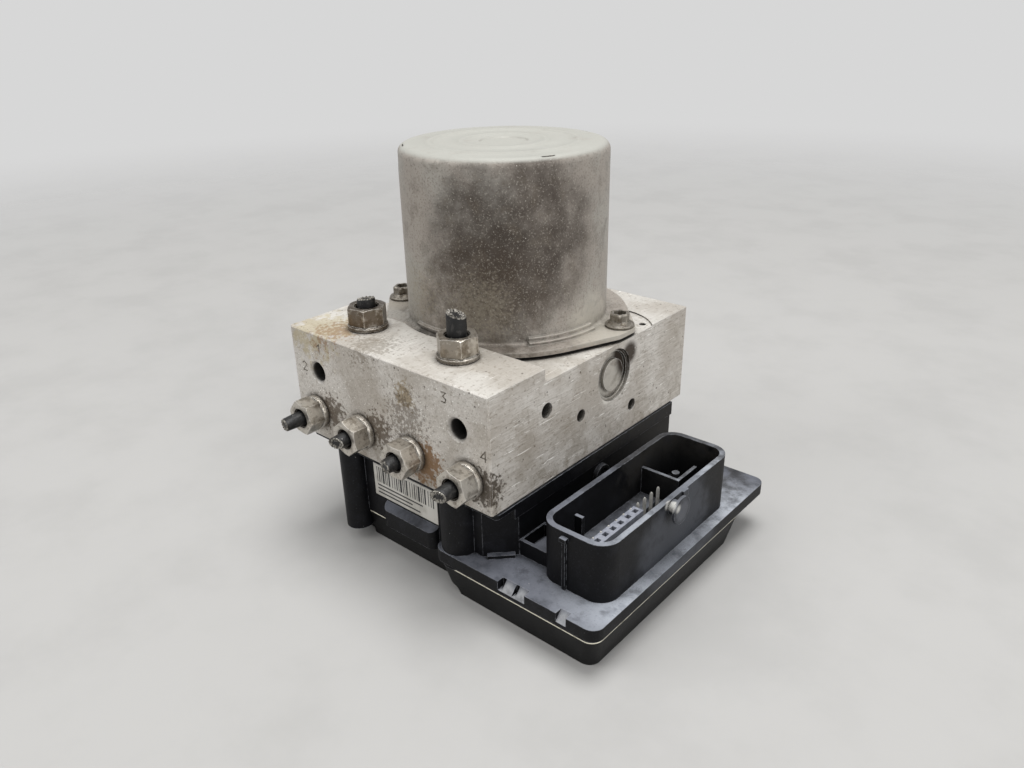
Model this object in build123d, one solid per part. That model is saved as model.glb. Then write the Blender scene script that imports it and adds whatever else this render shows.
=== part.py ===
from build123d import *
import math
import os

# Anti-lock brake module: an aluminium hydraulic block with the pump motor on top and the
# electronic control unit underneath.  All lengths are millimetres.  The functions draw in
# the block's frame: X along the port face, Y from the port face to the back, Z up, origin
# in the middle of the block's underside.  place() then moves every piece so that the origin
# is under the middle of the whole module, at the level of the control unit's cover.

# ---------------------------------------------------------------- hydraulic block
BLOCK_X = 93.6
BLOCK_Y = 109.8
BLOCK_Z = 40.0
BLOCK_BEVEL = 0.5
LAND_Y = 26.15  # full-height strip along the port face
FLOOR_DROP = 4.4  # motor floor below that strip
REAR_RIM = 0.45  # rear land above the motor floor
FLOOR_MARGIN = 1.0  # turned floor round the motor flange
RELIEF_GAP = 4.0  # turned relief round the can where it meets the strip
DIMPLE_RADIUS = 1.25
DIMPLE_DEPTH = 0.8
DIMPLE_X = 43.0
DIMPLE_Y = 30.5

MOUNT_SPACING = 67.4
MOUNT_HEIGHT = 25.5
MOUNT_CORE_RADIUS = 3.4  # tapping size of M8
MOUNT_DEPTH = 12.0
MOUNT_BEVEL = 0.8

DRILLINGS = ((-28.4, 25.6, 2.6), (-10.5, 16.7, 2.2), (19.7, 9.2, 2.2))  # y, z, radius
DRILLING_DEPTH = 7.0
BALL_RECESS = 0.7

# ---------------------------------------------------------------- pump motor
MOTOR_X = -1.1
MOTOR_Y = 8.2
CAN_RADIUS = 36.0
CAN_WALL = 2.0
CAN_TOP = 62.8  # above the motor floor
CAN_EDGE = 3.0
CAN_RINGS = ((13.5, 15.5), (24.5, 26.5))  # embossed rings, inner and outer radius
RING_HEIGHT = 0.35
HUB_RADIUS = 8.5
HUB_DEPTH = 0.5
FLANGE_GAP = 1.2
FLANGE_THICKNESS = 1.6
FLANGE_REACH = 7.6  # beyond the can
FLANGE_FRONT_GAP = 0.8  # flange to the strip
RIB_REACH = 2.4
RIB_HEIGHT = 2.5
RIB_ARCS = ((-38.0, 2.0), (142.0, 182.0))
POCKET_ANGLE = 17.3
POCKET_INSET = 2.0  # pocket centre inside the can's wall
POCKET_RADIUS = 20.0  # floor pocket round each ear
EAR_RADIUS = 5.4
EAR_SHOULDER_RADIUS = 6.8
EAR_SHOULDER_REACH = 5.3
EAR_SHOULDER_ANGLE = -7.5  # from the screw
SCREW_REACHES = ((7.7, 13.5), (6.4, 201.7))  # distance from the can's wall, angle
LOUVRE_ARC = (254.0, 275.0)
LOUVRE_HEIGHT = 1.5
LOUVRE_REACH = 1.1

FLANGE_SCREW_RADIUS = 2.5
FLANGE_SCREW_DEPTH = 8.0
FLANGE_HOLE_RADIUS = 2.9
WASHER_RADIUS = 5.1
WASHER_THICKNESS = 1.1
SCREW_HEAD_RADIUS = 3.2
SCREW_HEAD_HEIGHT = 3.7
HEAD_SOCKET_RADIUS = 1.6
HEAD_SOCKET_DEPTH = 1.8
STAR_POINTS = 6

THREAD_GAP = 0.06  # screw or nut thread to its hole
SEAT_GAP = 0.05  # radial gap where one round piece sits in another
RUNNING_GAP = 0.03  # radial gap of a running fit

SEAL_REACH = 1.8
SPIGOT_RADIUS = 14.0
SPIGOT_DEPTH = 6.0
PLATE_THICKNESS = 1.6
BEARING_RADIUS = 11.0
BEARING_BORE = 4.0
BEARING_WIDTH = 7.0
BEARING_LIP = 9.0
SHAFT_RADIUS = 4.0
SHAFT_TAIL = 6.2  # below the pump's middle
BRUSH_PLATE_THICKNESS = 2.8
BRUSH_PLATE_BORE = 11.0
COMMUTATOR_RADIUS = 9.0
COMMUTATOR_LENGTH = 7.0
COMMUTATOR_RAISE = 1.5
COMMUTATOR_BARS = 12
BRUSH_LENGTH = 8.0
BRUSH_WIDTH = 5.0
BRUSH_HEIGHT = 5.0
BRUSH_GAP = 0.2
AIR_GAP = 0.7
CORE_LENGTH = 26.0
CORE_RAISE = 14.0  # lamination stack above the brush plate
SLOTS = 12
SLOT_WIDTH = 5.0
SLOT_SHARE = 0.5  # slot floor as a share of the core's radius
WINDING_GAP = 0.2
END_TURNS = 5.5
END_TURNS_LAP = 2.0  # below the slot floor
END_TURNS_INSET = 1.8
MAGNETS = 4
MAGNET_ARC = 70.0
MAGNET_THICKNESS = 5.5
MAGNET_RAISE = 10.0
MAGNET_LENGTH = 34.0
TOP_BUSH_RADIUS = 8.0
TOP_BUSH_LENGTH = 6.0
SHAFT_END_GAP = 1.4
CONTACT_INSET = 12.0  # motor contacts inside the can's wall
CONTACT_RADIUS = 0.9
CONTACT_PITCH = 3.0
CARRIER_RADIUS = 3.4

# ---------------------------------------------------------------- pump
BEARING_GAP = 1.8  # eccentric bearing below the motor bearing
ECCENTRICITY = 1.0
JOURNAL_RADIUS = 5.5
JOURNAL_LENGTH = 8.0
ECCENTRIC_RADIUS = 10.0
ECCENTRIC_WIDTH = 7.4
CHAMBER_RADIUS = 14.1
CHAMBER_DEPTH = 7.7  # below the pump's middle
PISTON_CLEARANCE = 0.15  # piston to the eccentric at its widest turn
PISTON_RADIUS = 3.0
PISTON_COLLAR = 5.0
PISTON_COLLAR_LENGTH = 1.5
SLEEVE_START = 17.5  # distances from the motor axis
SLEEVE_GUIDE = 27.0
SLEEVE_END = 35.0
SLEEVE_RADIUS = 6.5
SLEEVE_CHAMBER = 5.3
PLUG_RADIUS = 9.4
PLUG_SINK = 2.3  # counterbore for the plug's head
PLUG_HEAD = 0.4
PLUG_RECESS = 0.9
PLUG_RIM = 1.0
PLUG_BOSS_RADIUS = 5.7
PLUG_BOSS_RECESS = 0.5
PUMP_SPRING_RADIUS = 4.2
SPRING_WIRE = 0.7
PUMP_SPRING_TURNS = 3

# ---------------------------------------------------------------- accumulators
ACCUMULATOR_X = 22.0
ACCUMULATOR_Y = 36.0
ACCUMULATOR_RADIUS = 9.5
ACCUMULATOR_DEPTH = 24.0
ACCUMULATOR_PISTON = 6.0
ACCUMULATOR_TOP_GAP = 1.0
ACCUMULATOR_CAP = 3.0
ACCUMULATOR_SPRING_RADIUS = 6.5
ACCUMULATOR_SPRING_WIRE = 1.0
ACCUMULATOR_SPRING_TURNS = 3

# ---------------------------------------------------------------- solenoid valves
VALVE_X = (-30.0, -10.0, 10.0, 30.0)
INLET_Y = -31.5
OUTLET_Y = -14.5
VALVE_RADIUS = 5.5
VALVE_COLLAR = 8.0
VALVE_STEM = 4.0
VALVE_DEPTH = 20.0
VALVE_BORE = 1.2
DOME_RADIUS = 3.6
DOME_BORE = 3.0
DOME_DEPTH = 18.0  # below the block
DOME_END = 0.7
POLE_DEPTH = 5.4
PLUNGER_STROKE = 0.3
PLUNGER_AIR = 0.1  # beyond the stroke at the far end
PUSHROD_LENGTH = 19.0
COIL_INNER = 3.9
COIL_OUTER = 7.3
COIL_TOP = 3.0
COIL_BOTTOM = 17.0
YOKE_WALL = 0.5
COIL_PIN = 0.8
COIL_PIN_OFFSET = 5.5

# ---------------------------------------------------------------- ports, nuts, pipes
WHEEL_PORT_X = (-36.0, -11.8, 12.4, 37.6)
WHEEL_PORT_Z = 10.0
WHEEL_THREAD = 5.0
WHEEL_PORT_DEPTH = 13.4
WHEEL_NUT_FLATS = 11.0
WHEEL_NUT_COLLAR = 6.1
WHEEL_NUT_COLLAR_LENGTH = 2.0
WHEEL_NUT_HEX_LENGTH = 6.0
WHEEL_NUT_TURNS = (8.0, 21.0, 2.0, 14.0)
WHEEL_PIPE = 2.6
WHEEL_STUBS = (6.75, 3.75, 3.75, 5.25)
WHEEL_CUT_ANGLES = (24.0, -28.0, 26.0, -22.0)
MASTER_PORTS = ((-23.5, -39.0), (19.6, -39.0))
MASTER_THREAD = 6.0
MASTER_PORT_DEPTH = 13.0
MASTER_NUT_FLATS = 12.0
MASTER_NUT_COLLAR = 6.9
MASTER_NUT_COLLAR_LENGTH = 1.7
MASTER_NUT_HEX_LENGTH = 6.3
MASTER_NUT_TURNS = (10.0, 24.0)
MASTER_NUT_MOUTH = 3.8
MASTER_PIPE = 3.3
MASTER_STUBS = (2.5, 6.6)
MASTER_CUT_ANGLES = (12.0, -10.0)
PIPE_WALL = 0.75
PIPE_GAP = 0.08
NUT_BEVEL = 0.9
NUT_SHANK = 11.0
PIPE_SINK = 10.0  # pipe inside its port

# ---------------------------------------------------------------- control unit
GASKET_THICKNESS = 0.8
GASKET_INSET = 0.3
RIM_THICKNESS = 1.6
HOUSING_LEFT = -41.0
HOUSING_RIGHT = 57.5
HOUSING_FRONT = -50.5
HOUSING_BACK = 48.3
HOUSING_WALL = 2.0
NOTCH_X = 12.0  # front left corner set back
NOTCH_Y = 7.5
CORNER_RADIUS = 6.0
RIM_LEFT = -43.5
RIM_FRONT = -53.0
RIM_RIGHT = 47.0
RIM_WALL = 3.0
RIM_CORNER = 1.5
RIM_BAND = 6.0  # deep part of the rim along the right wall
MIN_CORNER = 0.5
UPPER_RIGHT = 46.3  # right wall above the wing plate
UPPER_SLANT = 5.87  # slanted corner, from the square one
SLANT_FOOT = (9.0, 3.6, 1.2)  # ledge along the foot of the slanted corner
SEAM = 27.0  # depth of the cover seam below the block
SEAL_THICKNESS = 0.4
WING_TOP = 21.1
WING_EDGE = 4.3
WING_LEFT = 21.5
WING_RIGHT = 87.2
WING_FRONT = -57.0
WING_BACK = 49.5
WING_CORNER = 4.0
WING_STEP = 1.0  # seam outline inside the wing plate
WING_SEAM_BACK = 33.0
RAMPS_X = ((51.6, 55.5), (57.0, 60.7), (72.8, 76.5))
RAMP_SLOTS_X = ((50.0, 51.6), (55.5, 57.0))
RAMP_RUN = 2.8
RAMP_DROP = 3.1
SHROUD_LEFT = 57.5
SHROUD_RIGHT = 83.0
SHROUD_FRONT = -46.5
SHROUD_BACK = 28.0
SHROUD_TOP = 0.5
SHROUD_CORNER = 6.7
SHROUD_WALL = 1.9
SHROUD_FLOOR = 17.0
DIVIDER_X = 73.4
DIVIDER_Y = 9.0
DIVIDER_BACK = 20.7
DIVIDER_TOP = 7.0
DIVIDER_WALL = 1.2
PEG_RADIUS = 1.3
PEG_INSET = 2.4
KEY_X = (61.6, 64.6)
KEY_Y = -32.8
KEY_TOP = 4.0
TRAY_FRONT = -42.0
TRAY_BACK = -29.0
TRAY_TOP = 15.5
TRAY_FLOOR = 20.4
TRAY_WALL = 1.2
TRAY_EDGE = 0.6
TRAY_POCKET = 4.8  # width of the pocket beside the shelf
BOSS_Y = -11.0
BOSS_DEPTH = 3.4
BOSS_RADIUS = 2.5
BOSS_DISC = 4.7
BOSS_REACH = 3.6
BOSS_DISC_THICKNESS = 0.9
RIM_TAB_Y = -4.0
FRONT_KEY_X = 68.0
BULGE_X = (-8.0, 18.0)
BULGE_REACH = 3.0
BULGE_TOP = 18.5
BULGE_SLOPE = 1.8
LOOP_Y = 1.8
LOOP_Z = -11.4
LOOP_RADIUS = 4.0
LOOP_WALL = 1.3
LOOP_REACH = 1.6

LEFT_COLUMN = (-23.5, -51.5, 4.9)  # x, y, radius
RIGHT_COLUMN = (28.0, -50.4, 6.3)
REAR_COLUMNS = ((-33.5, 41.0, 5.8), (40.0, 41.0, 5.8))
LEFT_COLUMN_BOTTOM = 33.5
COLUMN_BORE = 2.3
HEAD_BORE = 3.9
HEAD_SEAT = 8.0
UNIT_SCREW_RADIUS = 2.0
UNIT_SCREW_SINK = 9.0
UNIT_HEAD_RADIUS = 3.6
UNIT_HEAD_HEIGHT = 3.5
TUBE_WALL = 1.8
TUBE_GAP = 0.4

COVER_BOTTOM = 38.3
COVER_FLOOR = 2.0
COVER_DRAFT = 12.0
COVER_WALL = 2.0
BOARD_TOP = 28.4
BOARD_THICKNESS = 1.6
BOARD_GAP = 0.4
STANDOFFS = ((-30.0, -25.0), (-30.0, 25.0), (45.0, -38.0), (45.0, 25.0), (76.0, 20.0))
STANDOFF_RADIUS = 2.5

LABEL_X = (-13.6, 18.0)
LABEL_TOP = 4.9
LABEL_HEIGHT = 12.7
LABEL_THICKNESS = 0.2

PIN_ROWS = (69.0, 73.0, 77.0)
PIN_COUNT = 11
PIN_PITCH = 4.15
PIN_BACK = 3.8
PIN_TIP = 9.0
CARRIER_MARGIN = 2.2
CARRIER_THICKNESS = 2.0

# ---------------------------------------------------------------- derived places
HALF_X = BLOCK_X / 2
HALF_Y = BLOCK_Y / 2
PORT_FACE = -HALF_Y
STEP_Y = PORT_FACE + LAND_Y
FLOOR_Z = BLOCK_Z - FLOOR_DROP
REAR_Z = FLOOR_Z + REAR_RIM
FLANGE_BOTTOM = FLOOR_Z + FLANGE_GAP
FLANGE_TOP = FLANGE_BOTTOM + FLANGE_THICKNESS
CAN_TOP_Z = FLOOR_Z + CAN_TOP
CAN_INNER = CAN_RADIUS - CAN_WALL
CAN_MIDDLE = CAN_RADIUS - CAN_WALL / 2
FLANGE_RADIUS = CAN_RADIUS + FLANGE_REACH
FLOOR_RADIUS = FLANGE_RADIUS + FLOOR_MARGIN
RELIEF_RADIUS = CAN_RADIUS + RELIEF_GAP
RIB_RADIUS = CAN_RADIUS + RIB_REACH
POCKET_OFFSET = CAN_RADIUS - POCKET_INSET
EAR_SHOULDER_OFFSET = CAN_RADIUS + EAR_SHOULDER_REACH
SCREW_PLACES = tuple((CAN_RADIUS + reach, angle) for reach, angle in SCREW_REACHES)
SEAL_OUTER = CAN_RADIUS + SEAL_REACH
MAGNET_INNER = CAN_INNER - MAGNET_THICKNESS
CORE_RADIUS = MAGNET_INNER - AIR_GAP
SLOT_INNER = CORE_RADIUS * SLOT_SHARE
END_TURNS_INNER = SLOT_INNER - END_TURNS_LAP
END_TURNS_OUTER = CORE_RADIUS - END_TURNS_INSET
CONTACT_OFFSET = CAN_INNER - CONTACT_INSET
PLATE_TOP = FLOOR_Z + PLATE_THICKNESS
SPIGOT_Z = FLOOR_Z - SPIGOT_DEPTH
BEARING_BOTTOM = PLATE_TOP - BEARING_WIDTH
PUMP_HEIGHT = BEARING_BOTTOM - BEARING_GAP - ECCENTRIC_WIDTH / 2
CHAMBER_BOTTOM = PUMP_HEIGHT - CHAMBER_DEPTH
SHAFT_BOTTOM = PUMP_HEIGHT - SHAFT_TAIL
BRUSH_TOP = PLATE_TOP + BRUSH_PLATE_THICKNESS
COMMUTATOR_BOTTOM = BRUSH_TOP + COMMUTATOR_RAISE
CORE_BOTTOM = BRUSH_TOP + CORE_RAISE
SHAFT_TOP = CAN_TOP_Z - CAN_WALL - SHAFT_END_GAP
PISTON_START = ECCENTRIC_RADIUS + ECCENTRICITY + PISTON_CLEARANCE
CONTACT_Y = MOTOR_Y + CONTACT_OFFSET
SEAM_TOP = -SEAM + SEAL_THICKNESS / 2
SEAM_BOTTOM = -SEAM - SEAL_THICKNESS / 2
COVER_DRAW = (COVER_BOTTOM - SEAM) * math.tan(math.radians(COVER_DRAFT))
WHEEL_NUT_REACH = WHEEL_NUT_COLLAR_LENGTH + WHEEL_NUT_HEX_LENGTH
FRONT_END = PORT_FACE - WHEEL_NUT_REACH - max(WHEEL_STUBS)
COLUMNS = (LEFT_COLUMN, RIGHT_COLUMN) + REAR_COLUMNS
BOARD_BOTTOM = -BOARD_TOP - BOARD_THICKNESS
FLOOR_INSIDE = -COVER_BOTTOM + COVER_FLOOR

ORIGIN_SHIFT = (
    (HALF_X - WING_RIGHT) / 2,
    -(FRONT_END + HALF_Y) / 2,
    COVER_BOTTOM,
)
LOW = (Align.CENTER, Align.CENTER, Align.MIN)


# ---------------------------------------------------------------- helpers
def slab(x0, x1, y0, y1, z0, z1, radius=0.0):
    """Upright block between the limits, with its upright corners rounded."""
    face = Rectangle(x1 - x0, y1 - y0)
    if radius > 0:
        face = RectangleRounded(x1 - x0, y1 - y0, radius)
    return Pos((x0 + x1) / 2, (y0 + y1) / 2, z0) * extrude(face, z1 - z0)


def rod_z(x, y, z0, z1, radius):
    """Upright cylinder."""
    return Pos(x, y, z0) * Cylinder(radius, z1 - z0, align=LOW)


def rod_x(x0, x1, y, z, radius):
    """Cylinder along X from x0 towards x1."""
    turn = Rot(0, 90, 0) if x1 > x0 else Rot(0, -90, 0)
    return Pos(x0, y, z) * turn * Cylinder(radius, abs(x1 - x0), align=LOW)


def rod_y(y0, y1, x, z, radius):
    """Cylinder along Y from y0 towards y1."""
    turn = Rot(-90, 0, 0) if y1 > y0 else Rot(90, 0, 0)
    return Pos(x, y0, z) * turn * Cylinder(radius, abs(y1 - y0), align=LOW)


def ring_z(x, y, z0, z1, inner, outer):
    """Upright ring."""
    return rod_z(x, y, z0, z1, outer) - rod_z(x, y, z0, z1, inner)


def turned(points):
    """Solid of revolution about Z from (radius, height) points."""
    face = make_face(Polyline(*points, close=True))
    return revolve(Plane.XZ * face, Axis.Z)


def polar(radius, angle):
    """Offset at a distance and an angle in degrees."""
    return radius * math.cos(math.radians(angle)), radius * math.sin(math.radians(angle))


def place(shape):
    """Move a piece from the block's frame to the module's frame."""
    return Pos(*ORIGIN_SHIFT) * shape


def save(shape, node):
    """Write one node, either a single piece or a list of separate ones."""
    pieces = shape if isinstance(shape, list) else [shape]
    solids = [place(solid) for piece in pieces for solid in piece.solids()]
    whole = solids[0] if len(solids) == 1 else Compound(solids)
    export_step(whole, "parts/" + node + ".step")


def at_motor(shape):
    """Move a piece drawn about Z to the motor axis."""
    return Pos(MOTOR_X, MOTOR_Y, 0) * shape


def screw_places():
    """Places of the two flange screws."""
    places = []
    for distance, angle in SCREW_PLACES:
        dx, dy = polar(distance, angle)
        places.append((MOTOR_X + dx, MOTOR_Y + dy))
    return places


def arc_ring(inner, outer, z0, z1, start, end):
    """Part of an upright ring between two angles."""
    face = Plane.XZ * Pos((inner + outer) / 2, (z0 + z1) / 2) * Rectangle(outer - inner, z1 - z0)
    return Rot(0, 0, start) * revolve(face, Axis.Z, revolution_arc=end - start)


# ---------------------------------------------------------------- hydraulic block
def block_body():
    """Outer form with the strip, the rear land and the turned motor floor."""
    body = slab(-HALF_X, HALF_X, PORT_FACE, HALF_Y, 0, REAR_Z)
    body += slab(-HALF_X, HALF_X, PORT_FACE, STEP_Y, 0, BLOCK_Z)
    outer = body.edges().filter_by(Axis.Z)
    outer += body.edges().filter_by(Axis.X).group_by(Axis.Y)[0].group_by(Axis.Z)[-1]
    body = chamfer(outer, BLOCK_BEVEL)
    behind = slab(-HALF_X, HALF_X, STEP_Y, HALF_Y, FLOOR_Z, BLOCK_Z)
    floor = slab(-HALF_X, HALF_X, STEP_Y, MOTOR_Y, FLOOR_Z, BLOCK_Z)
    floor += rod_z(MOTOR_X, MOTOR_Y, FLOOR_Z, BLOCK_Z, FLOOR_RADIUS) & behind
    for angle in (POCKET_ANGLE, POCKET_ANGLE + 180):
        dx, dy = polar(POCKET_OFFSET, angle)
        floor += rod_z(MOTOR_X + dx, MOTOR_Y + dy, FLOOR_Z, BLOCK_Z, POCKET_RADIUS)
    body -= floor + rod_z(MOTOR_X, MOTOR_Y, FLOOR_Z, BLOCK_Z, RELIEF_RADIUS)
    return body - rod_z(DIMPLE_X, DIMPLE_Y, FLOOR_Z - DIMPLE_DEPTH, BLOCK_Z, DIMPLE_RADIUS)


def pump_bores():
    """Eccentric chamber and the two stepped pump bores that open into it."""
    cut = rod_z(MOTOR_X, MOTOR_Y, CHAMBER_BOTTOM, BLOCK_Z, CHAMBER_RADIUS)
    for side in (-1, 1):
        face = side * HALF_X
        sleeve = MOTOR_X + side * SLEEVE_START
        cut += rod_x(MOTOR_X, sleeve, MOTOR_Y, PUMP_HEIGHT, PISTON_RADIUS + 1)
        cut += rod_x(sleeve, face, MOTOR_Y, PUMP_HEIGHT, SLEEVE_RADIUS)
        cut += rod_x(face - side * PLUG_SINK, face, MOTOR_Y, PUMP_HEIGHT, PLUG_RADIUS)
    return cut


def threaded_mount(x):
    """Front mounting hole with its bevel."""
    depth = PORT_FACE + MOUNT_DEPTH
    hole = rod_y(PORT_FACE, depth, x, MOUNT_HEIGHT, MOUNT_CORE_RADIUS)
    mouth = Cone(
        MOUNT_CORE_RADIUS + MOUNT_BEVEL,
        MOUNT_CORE_RADIUS,
        MOUNT_BEVEL,
        align=LOW,
    )
    return hole + Pos(x, PORT_FACE, MOUNT_HEIGHT) * Rot(-90, 0, 0) * mouth


def underside_bores():
    """Accumulator, valve and screw bores that open downwards."""
    cut = rod_z(MOTOR_X, CONTACT_Y, 0, BLOCK_Z, CARRIER_RADIUS + SEAT_GAP)
    for side in (-1, 1):
        cut += rod_z(side * ACCUMULATOR_X, ACCUMULATOR_Y, 0, ACCUMULATOR_DEPTH, ACCUMULATOR_RADIUS)
    for x in VALVE_X:
        for y in (INLET_Y, OUTLET_Y):
            cut += rod_z(x, y, 0, VALVE_COLLAR, VALVE_RADIUS)
            cut += rod_z(x, y, VALVE_COLLAR, VALVE_DEPTH, VALVE_STEM)
    for x, y, _radius in COLUMNS:
        cut += rod_z(x, y, 0, UNIT_SCREW_SINK + 1, UNIT_SCREW_RADIUS + THREAD_GAP)
    return cut


def port_bores():
    """Threaded ports for the six brake pipes."""
    cut = None
    for x in WHEEL_PORT_X:
        bore = rod_y(PORT_FACE, PORT_FACE + WHEEL_PORT_DEPTH, x, WHEEL_PORT_Z, WHEEL_THREAD)
        cut = bore if cut is None else cut + bore
    for x, y in MASTER_PORTS:
        cut += rod_z(x, y, BLOCK_Z - MASTER_PORT_DEPTH, BLOCK_Z, MASTER_THREAD)
    return cut


def hydraulic_block():
    """Machined block with every bore that another piece sits in."""
    body = block_body() - pump_bores() - underside_bores() - port_bores()
    for side in (-1, 1):
        body -= threaded_mount(side * MOUNT_SPACING / 2)
    for y, z, radius in DRILLINGS:
        body -= rod_x(HALF_X, HALF_X - DRILLING_DEPTH, y, z, radius)
    for x, y in screw_places():
        bottom = FLOOR_Z - FLANGE_SCREW_DEPTH - 1
        body -= rod_z(x, y, bottom, FLOOR_Z, FLANGE_SCREW_RADIUS + THREAD_GAP)
    return body


def drilling_balls():
    """Balls pressed into the three side drillings."""
    balls = []
    for y, z, radius in DRILLINGS:
        centre = HALF_X - BALL_RECESS - radius
        balls.append(Pos(centre, y, z) * Sphere(radius - RUNNING_GAP))
    return balls


# ---------------------------------------------------------------- motor casing
def flange_outline():
    """Round flange with an ear at each screw, straight along the strip and the block's sides."""
    edges = Circle(FLANGE_RADIUS).edges()
    for distance, angle in SCREW_PLACES:
        edges += (Pos(*polar(distance, angle)) * Circle(EAR_RADIUS)).edges()
        shoulder = Pos(*polar(EAR_SHOULDER_OFFSET, angle + EAR_SHOULDER_ANGLE)) * Circle(EAR_SHOULDER_RADIUS)
        edges += shoulder.edges()
    front = STEP_Y + FLANGE_FRONT_GAP - MOTOR_Y
    back = HALF_Y - MOTOR_Y
    limit = Pos(-MOTOR_X, (front + back) / 2) * Rectangle(BLOCK_X, back - front)
    return make_hull(edges) & limit


def can_top(body):
    """Emboss the rings and sink the hub in the closed end."""
    for inner, outer in CAN_RINGS:
        body += ring_z(0, 0, CAN_TOP_Z - CAN_WALL / 2, CAN_TOP_Z + RING_HEIGHT, inner, outer)
    return body - rod_z(0, 0, CAN_TOP_Z - HUB_DEPTH, CAN_TOP_Z + RING_HEIGHT, HUB_RADIUS)


def can_louvre(body):
    """Pressed louvre low on the front of the wall: a lip above a sunk slot."""
    lip = FLANGE_TOP + LOUVRE_HEIGHT
    body -= arc_ring(CAN_MIDDLE, CAN_RADIUS + LOUVRE_REACH, FLANGE_TOP, lip, *LOUVRE_ARC)
    return body + arc_ring(CAN_MIDDLE, CAN_RADIUS + LOUVRE_REACH, lip, lip + LOUVRE_HEIGHT, *LOUVRE_ARC)


def motor_can():
    """Deep-drawn can with its stepped foot and flange."""
    body = rod_z(0, 0, FLANGE_BOTTOM, CAN_TOP_Z, CAN_RADIUS)
    rim = body.edges().filter_by(GeomType.CIRCLE).sort_by(Axis.Z)[-1]
    body = fillet(rim, CAN_EDGE)
    body += Pos(0, 0, FLANGE_BOTTOM) * extrude(flange_outline(), FLANGE_THICKNESS)
    for start, end in RIB_ARCS:
        body += arc_ring(CAN_MIDDLE, RIB_RADIUS, FLANGE_TOP - FLANGE_THICKNESS / 2, FLANGE_TOP + RIB_HEIGHT, start, end)
    body = can_louvre(can_top(body))
    body -= rod_z(0, 0, FLANGE_BOTTOM, CAN_TOP_Z - CAN_WALL, CAN_INNER)
    for x, y in screw_places():
        body -= rod_z(x - MOTOR_X, y - MOTOR_Y, FLANGE_BOTTOM, FLANGE_TOP, FLANGE_HOLE_RADIUS)
    return at_motor(body)


def flange_screw(x, y):
    """Washer-head screw with an outer star and a blind socket."""
    top = FLANGE_TOP + WASHER_THICKNESS
    shank = rod_z(x, y, FLOOR_Z - FLANGE_SCREW_DEPTH, FLANGE_TOP, FLANGE_SCREW_RADIUS)
    washer = rod_z(x, y, FLANGE_TOP, top, WASHER_RADIUS)
    star = Circle(SCREW_HEAD_RADIUS * 0.82)
    for index in range(STAR_POINTS):
        dx, dy = polar(SCREW_HEAD_RADIUS * 0.72, index * 360 / STAR_POINTS)
        star += Pos(dx, dy) * Circle(SCREW_HEAD_RADIUS * 0.28)
    head = Pos(x, y, top) * extrude(star, SCREW_HEAD_HEIGHT)
    socket_floor = top + SCREW_HEAD_HEIGHT - HEAD_SOCKET_DEPTH
    socket = rod_z(x, y, socket_floor, top + SCREW_HEAD_HEIGHT, HEAD_SOCKET_RADIUS)
    return shank + washer + head - socket


def motor_seal():
    """Rubber ring that fills the gap under the flange."""
    return at_motor(ring_z(0, 0, FLOOR_Z, FLANGE_BOTTOM, CAN_MIDDLE, SEAL_OUTER))


def motor_end_plate():
    """Plate with the spigot that centres the motor and holds the lower bearing."""
    body = rod_z(0, 0, FLOOR_Z, PLATE_TOP, CAN_INNER - SEAT_GAP)
    body += rod_z(0, 0, SPIGOT_Z, FLOOR_Z, SPIGOT_RADIUS)
    body -= rod_z(0, 0, SPIGOT_Z, PLATE_TOP, BEARING_LIP)
    body -= rod_z(0, 0, BEARING_BOTTOM, PLATE_TOP, BEARING_RADIUS + RUNNING_GAP)
    body -= rod_z(0, CONTACT_OFFSET, FLOOR_Z, PLATE_TOP, CARRIER_RADIUS + SEAT_GAP)
    return at_motor(body)


def motor_bearing():
    """Lower ball bearing, drawn as one sealed ring."""
    inner = BEARING_BORE + RUNNING_GAP
    return at_motor(ring_z(0, 0, BEARING_BOTTOM, PLATE_TOP, inner, BEARING_RADIUS))


def motor_top_bush():
    """Sintered bush in the closed end of the can."""
    top = CAN_TOP_Z - CAN_WALL
    return at_motor(ring_z(0, 0, top - TOP_BUSH_LENGTH, top, SHAFT_RADIUS + RUNNING_GAP, TOP_BUSH_RADIUS))


def motor_magnets():
    """Four arc magnets on the inside of the can."""
    bottom = BRUSH_TOP + MAGNET_RAISE
    ring = ring_z(0, 0, bottom, bottom + MAGNET_LENGTH, MAGNET_INNER, CAN_INNER - SEAT_GAP)
    gap_angle = 360 / MAGNETS - MAGNET_ARC
    gap_width = 2 * CAN_INNER * math.sin(math.radians(gap_angle / 2))
    pieces = ring
    for index in range(MAGNETS // 2):
        slot = slab(-CAN_RADIUS, CAN_RADIUS, -gap_width / 2, gap_width / 2, bottom, bottom + MAGNET_LENGTH)
        pieces -= Rot(0, 0, 45 + index * 90) * slot
    return [at_motor(piece) for piece in pieces.solids()]


# ---------------------------------------------------------------- motor inside
def motor_shaft():
    """Armature shaft with the eccentric journal at its lower end."""
    journal_bottom = PUMP_HEIGHT - JOURNAL_LENGTH / 2
    body = rod_z(0, 0, SHAFT_BOTTOM, SHAFT_TOP, SHAFT_RADIUS)
    body += rod_z(ECCENTRICITY, 0, journal_bottom, journal_bottom + JOURNAL_LENGTH, JOURNAL_RADIUS)
    return at_motor(body)


def eccentric_bearing():
    """Needle bearing ring on the eccentric journal."""
    bottom = PUMP_HEIGHT - ECCENTRIC_WIDTH / 2
    inner = JOURNAL_RADIUS + RUNNING_GAP
    ring = ring_z(ECCENTRICITY, 0, bottom, bottom + ECCENTRIC_WIDTH, inner, ECCENTRIC_RADIUS)
    return at_motor(ring)


def armature_slot(extra, bottom, top):
    """One winding slot, `extra` narrower all round than the cut in the core."""
    half = SLOT_WIDTH / 2 - extra
    return slab(SLOT_INNER + extra, CORE_RADIUS + 1, -half, half, bottom, top)


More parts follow.
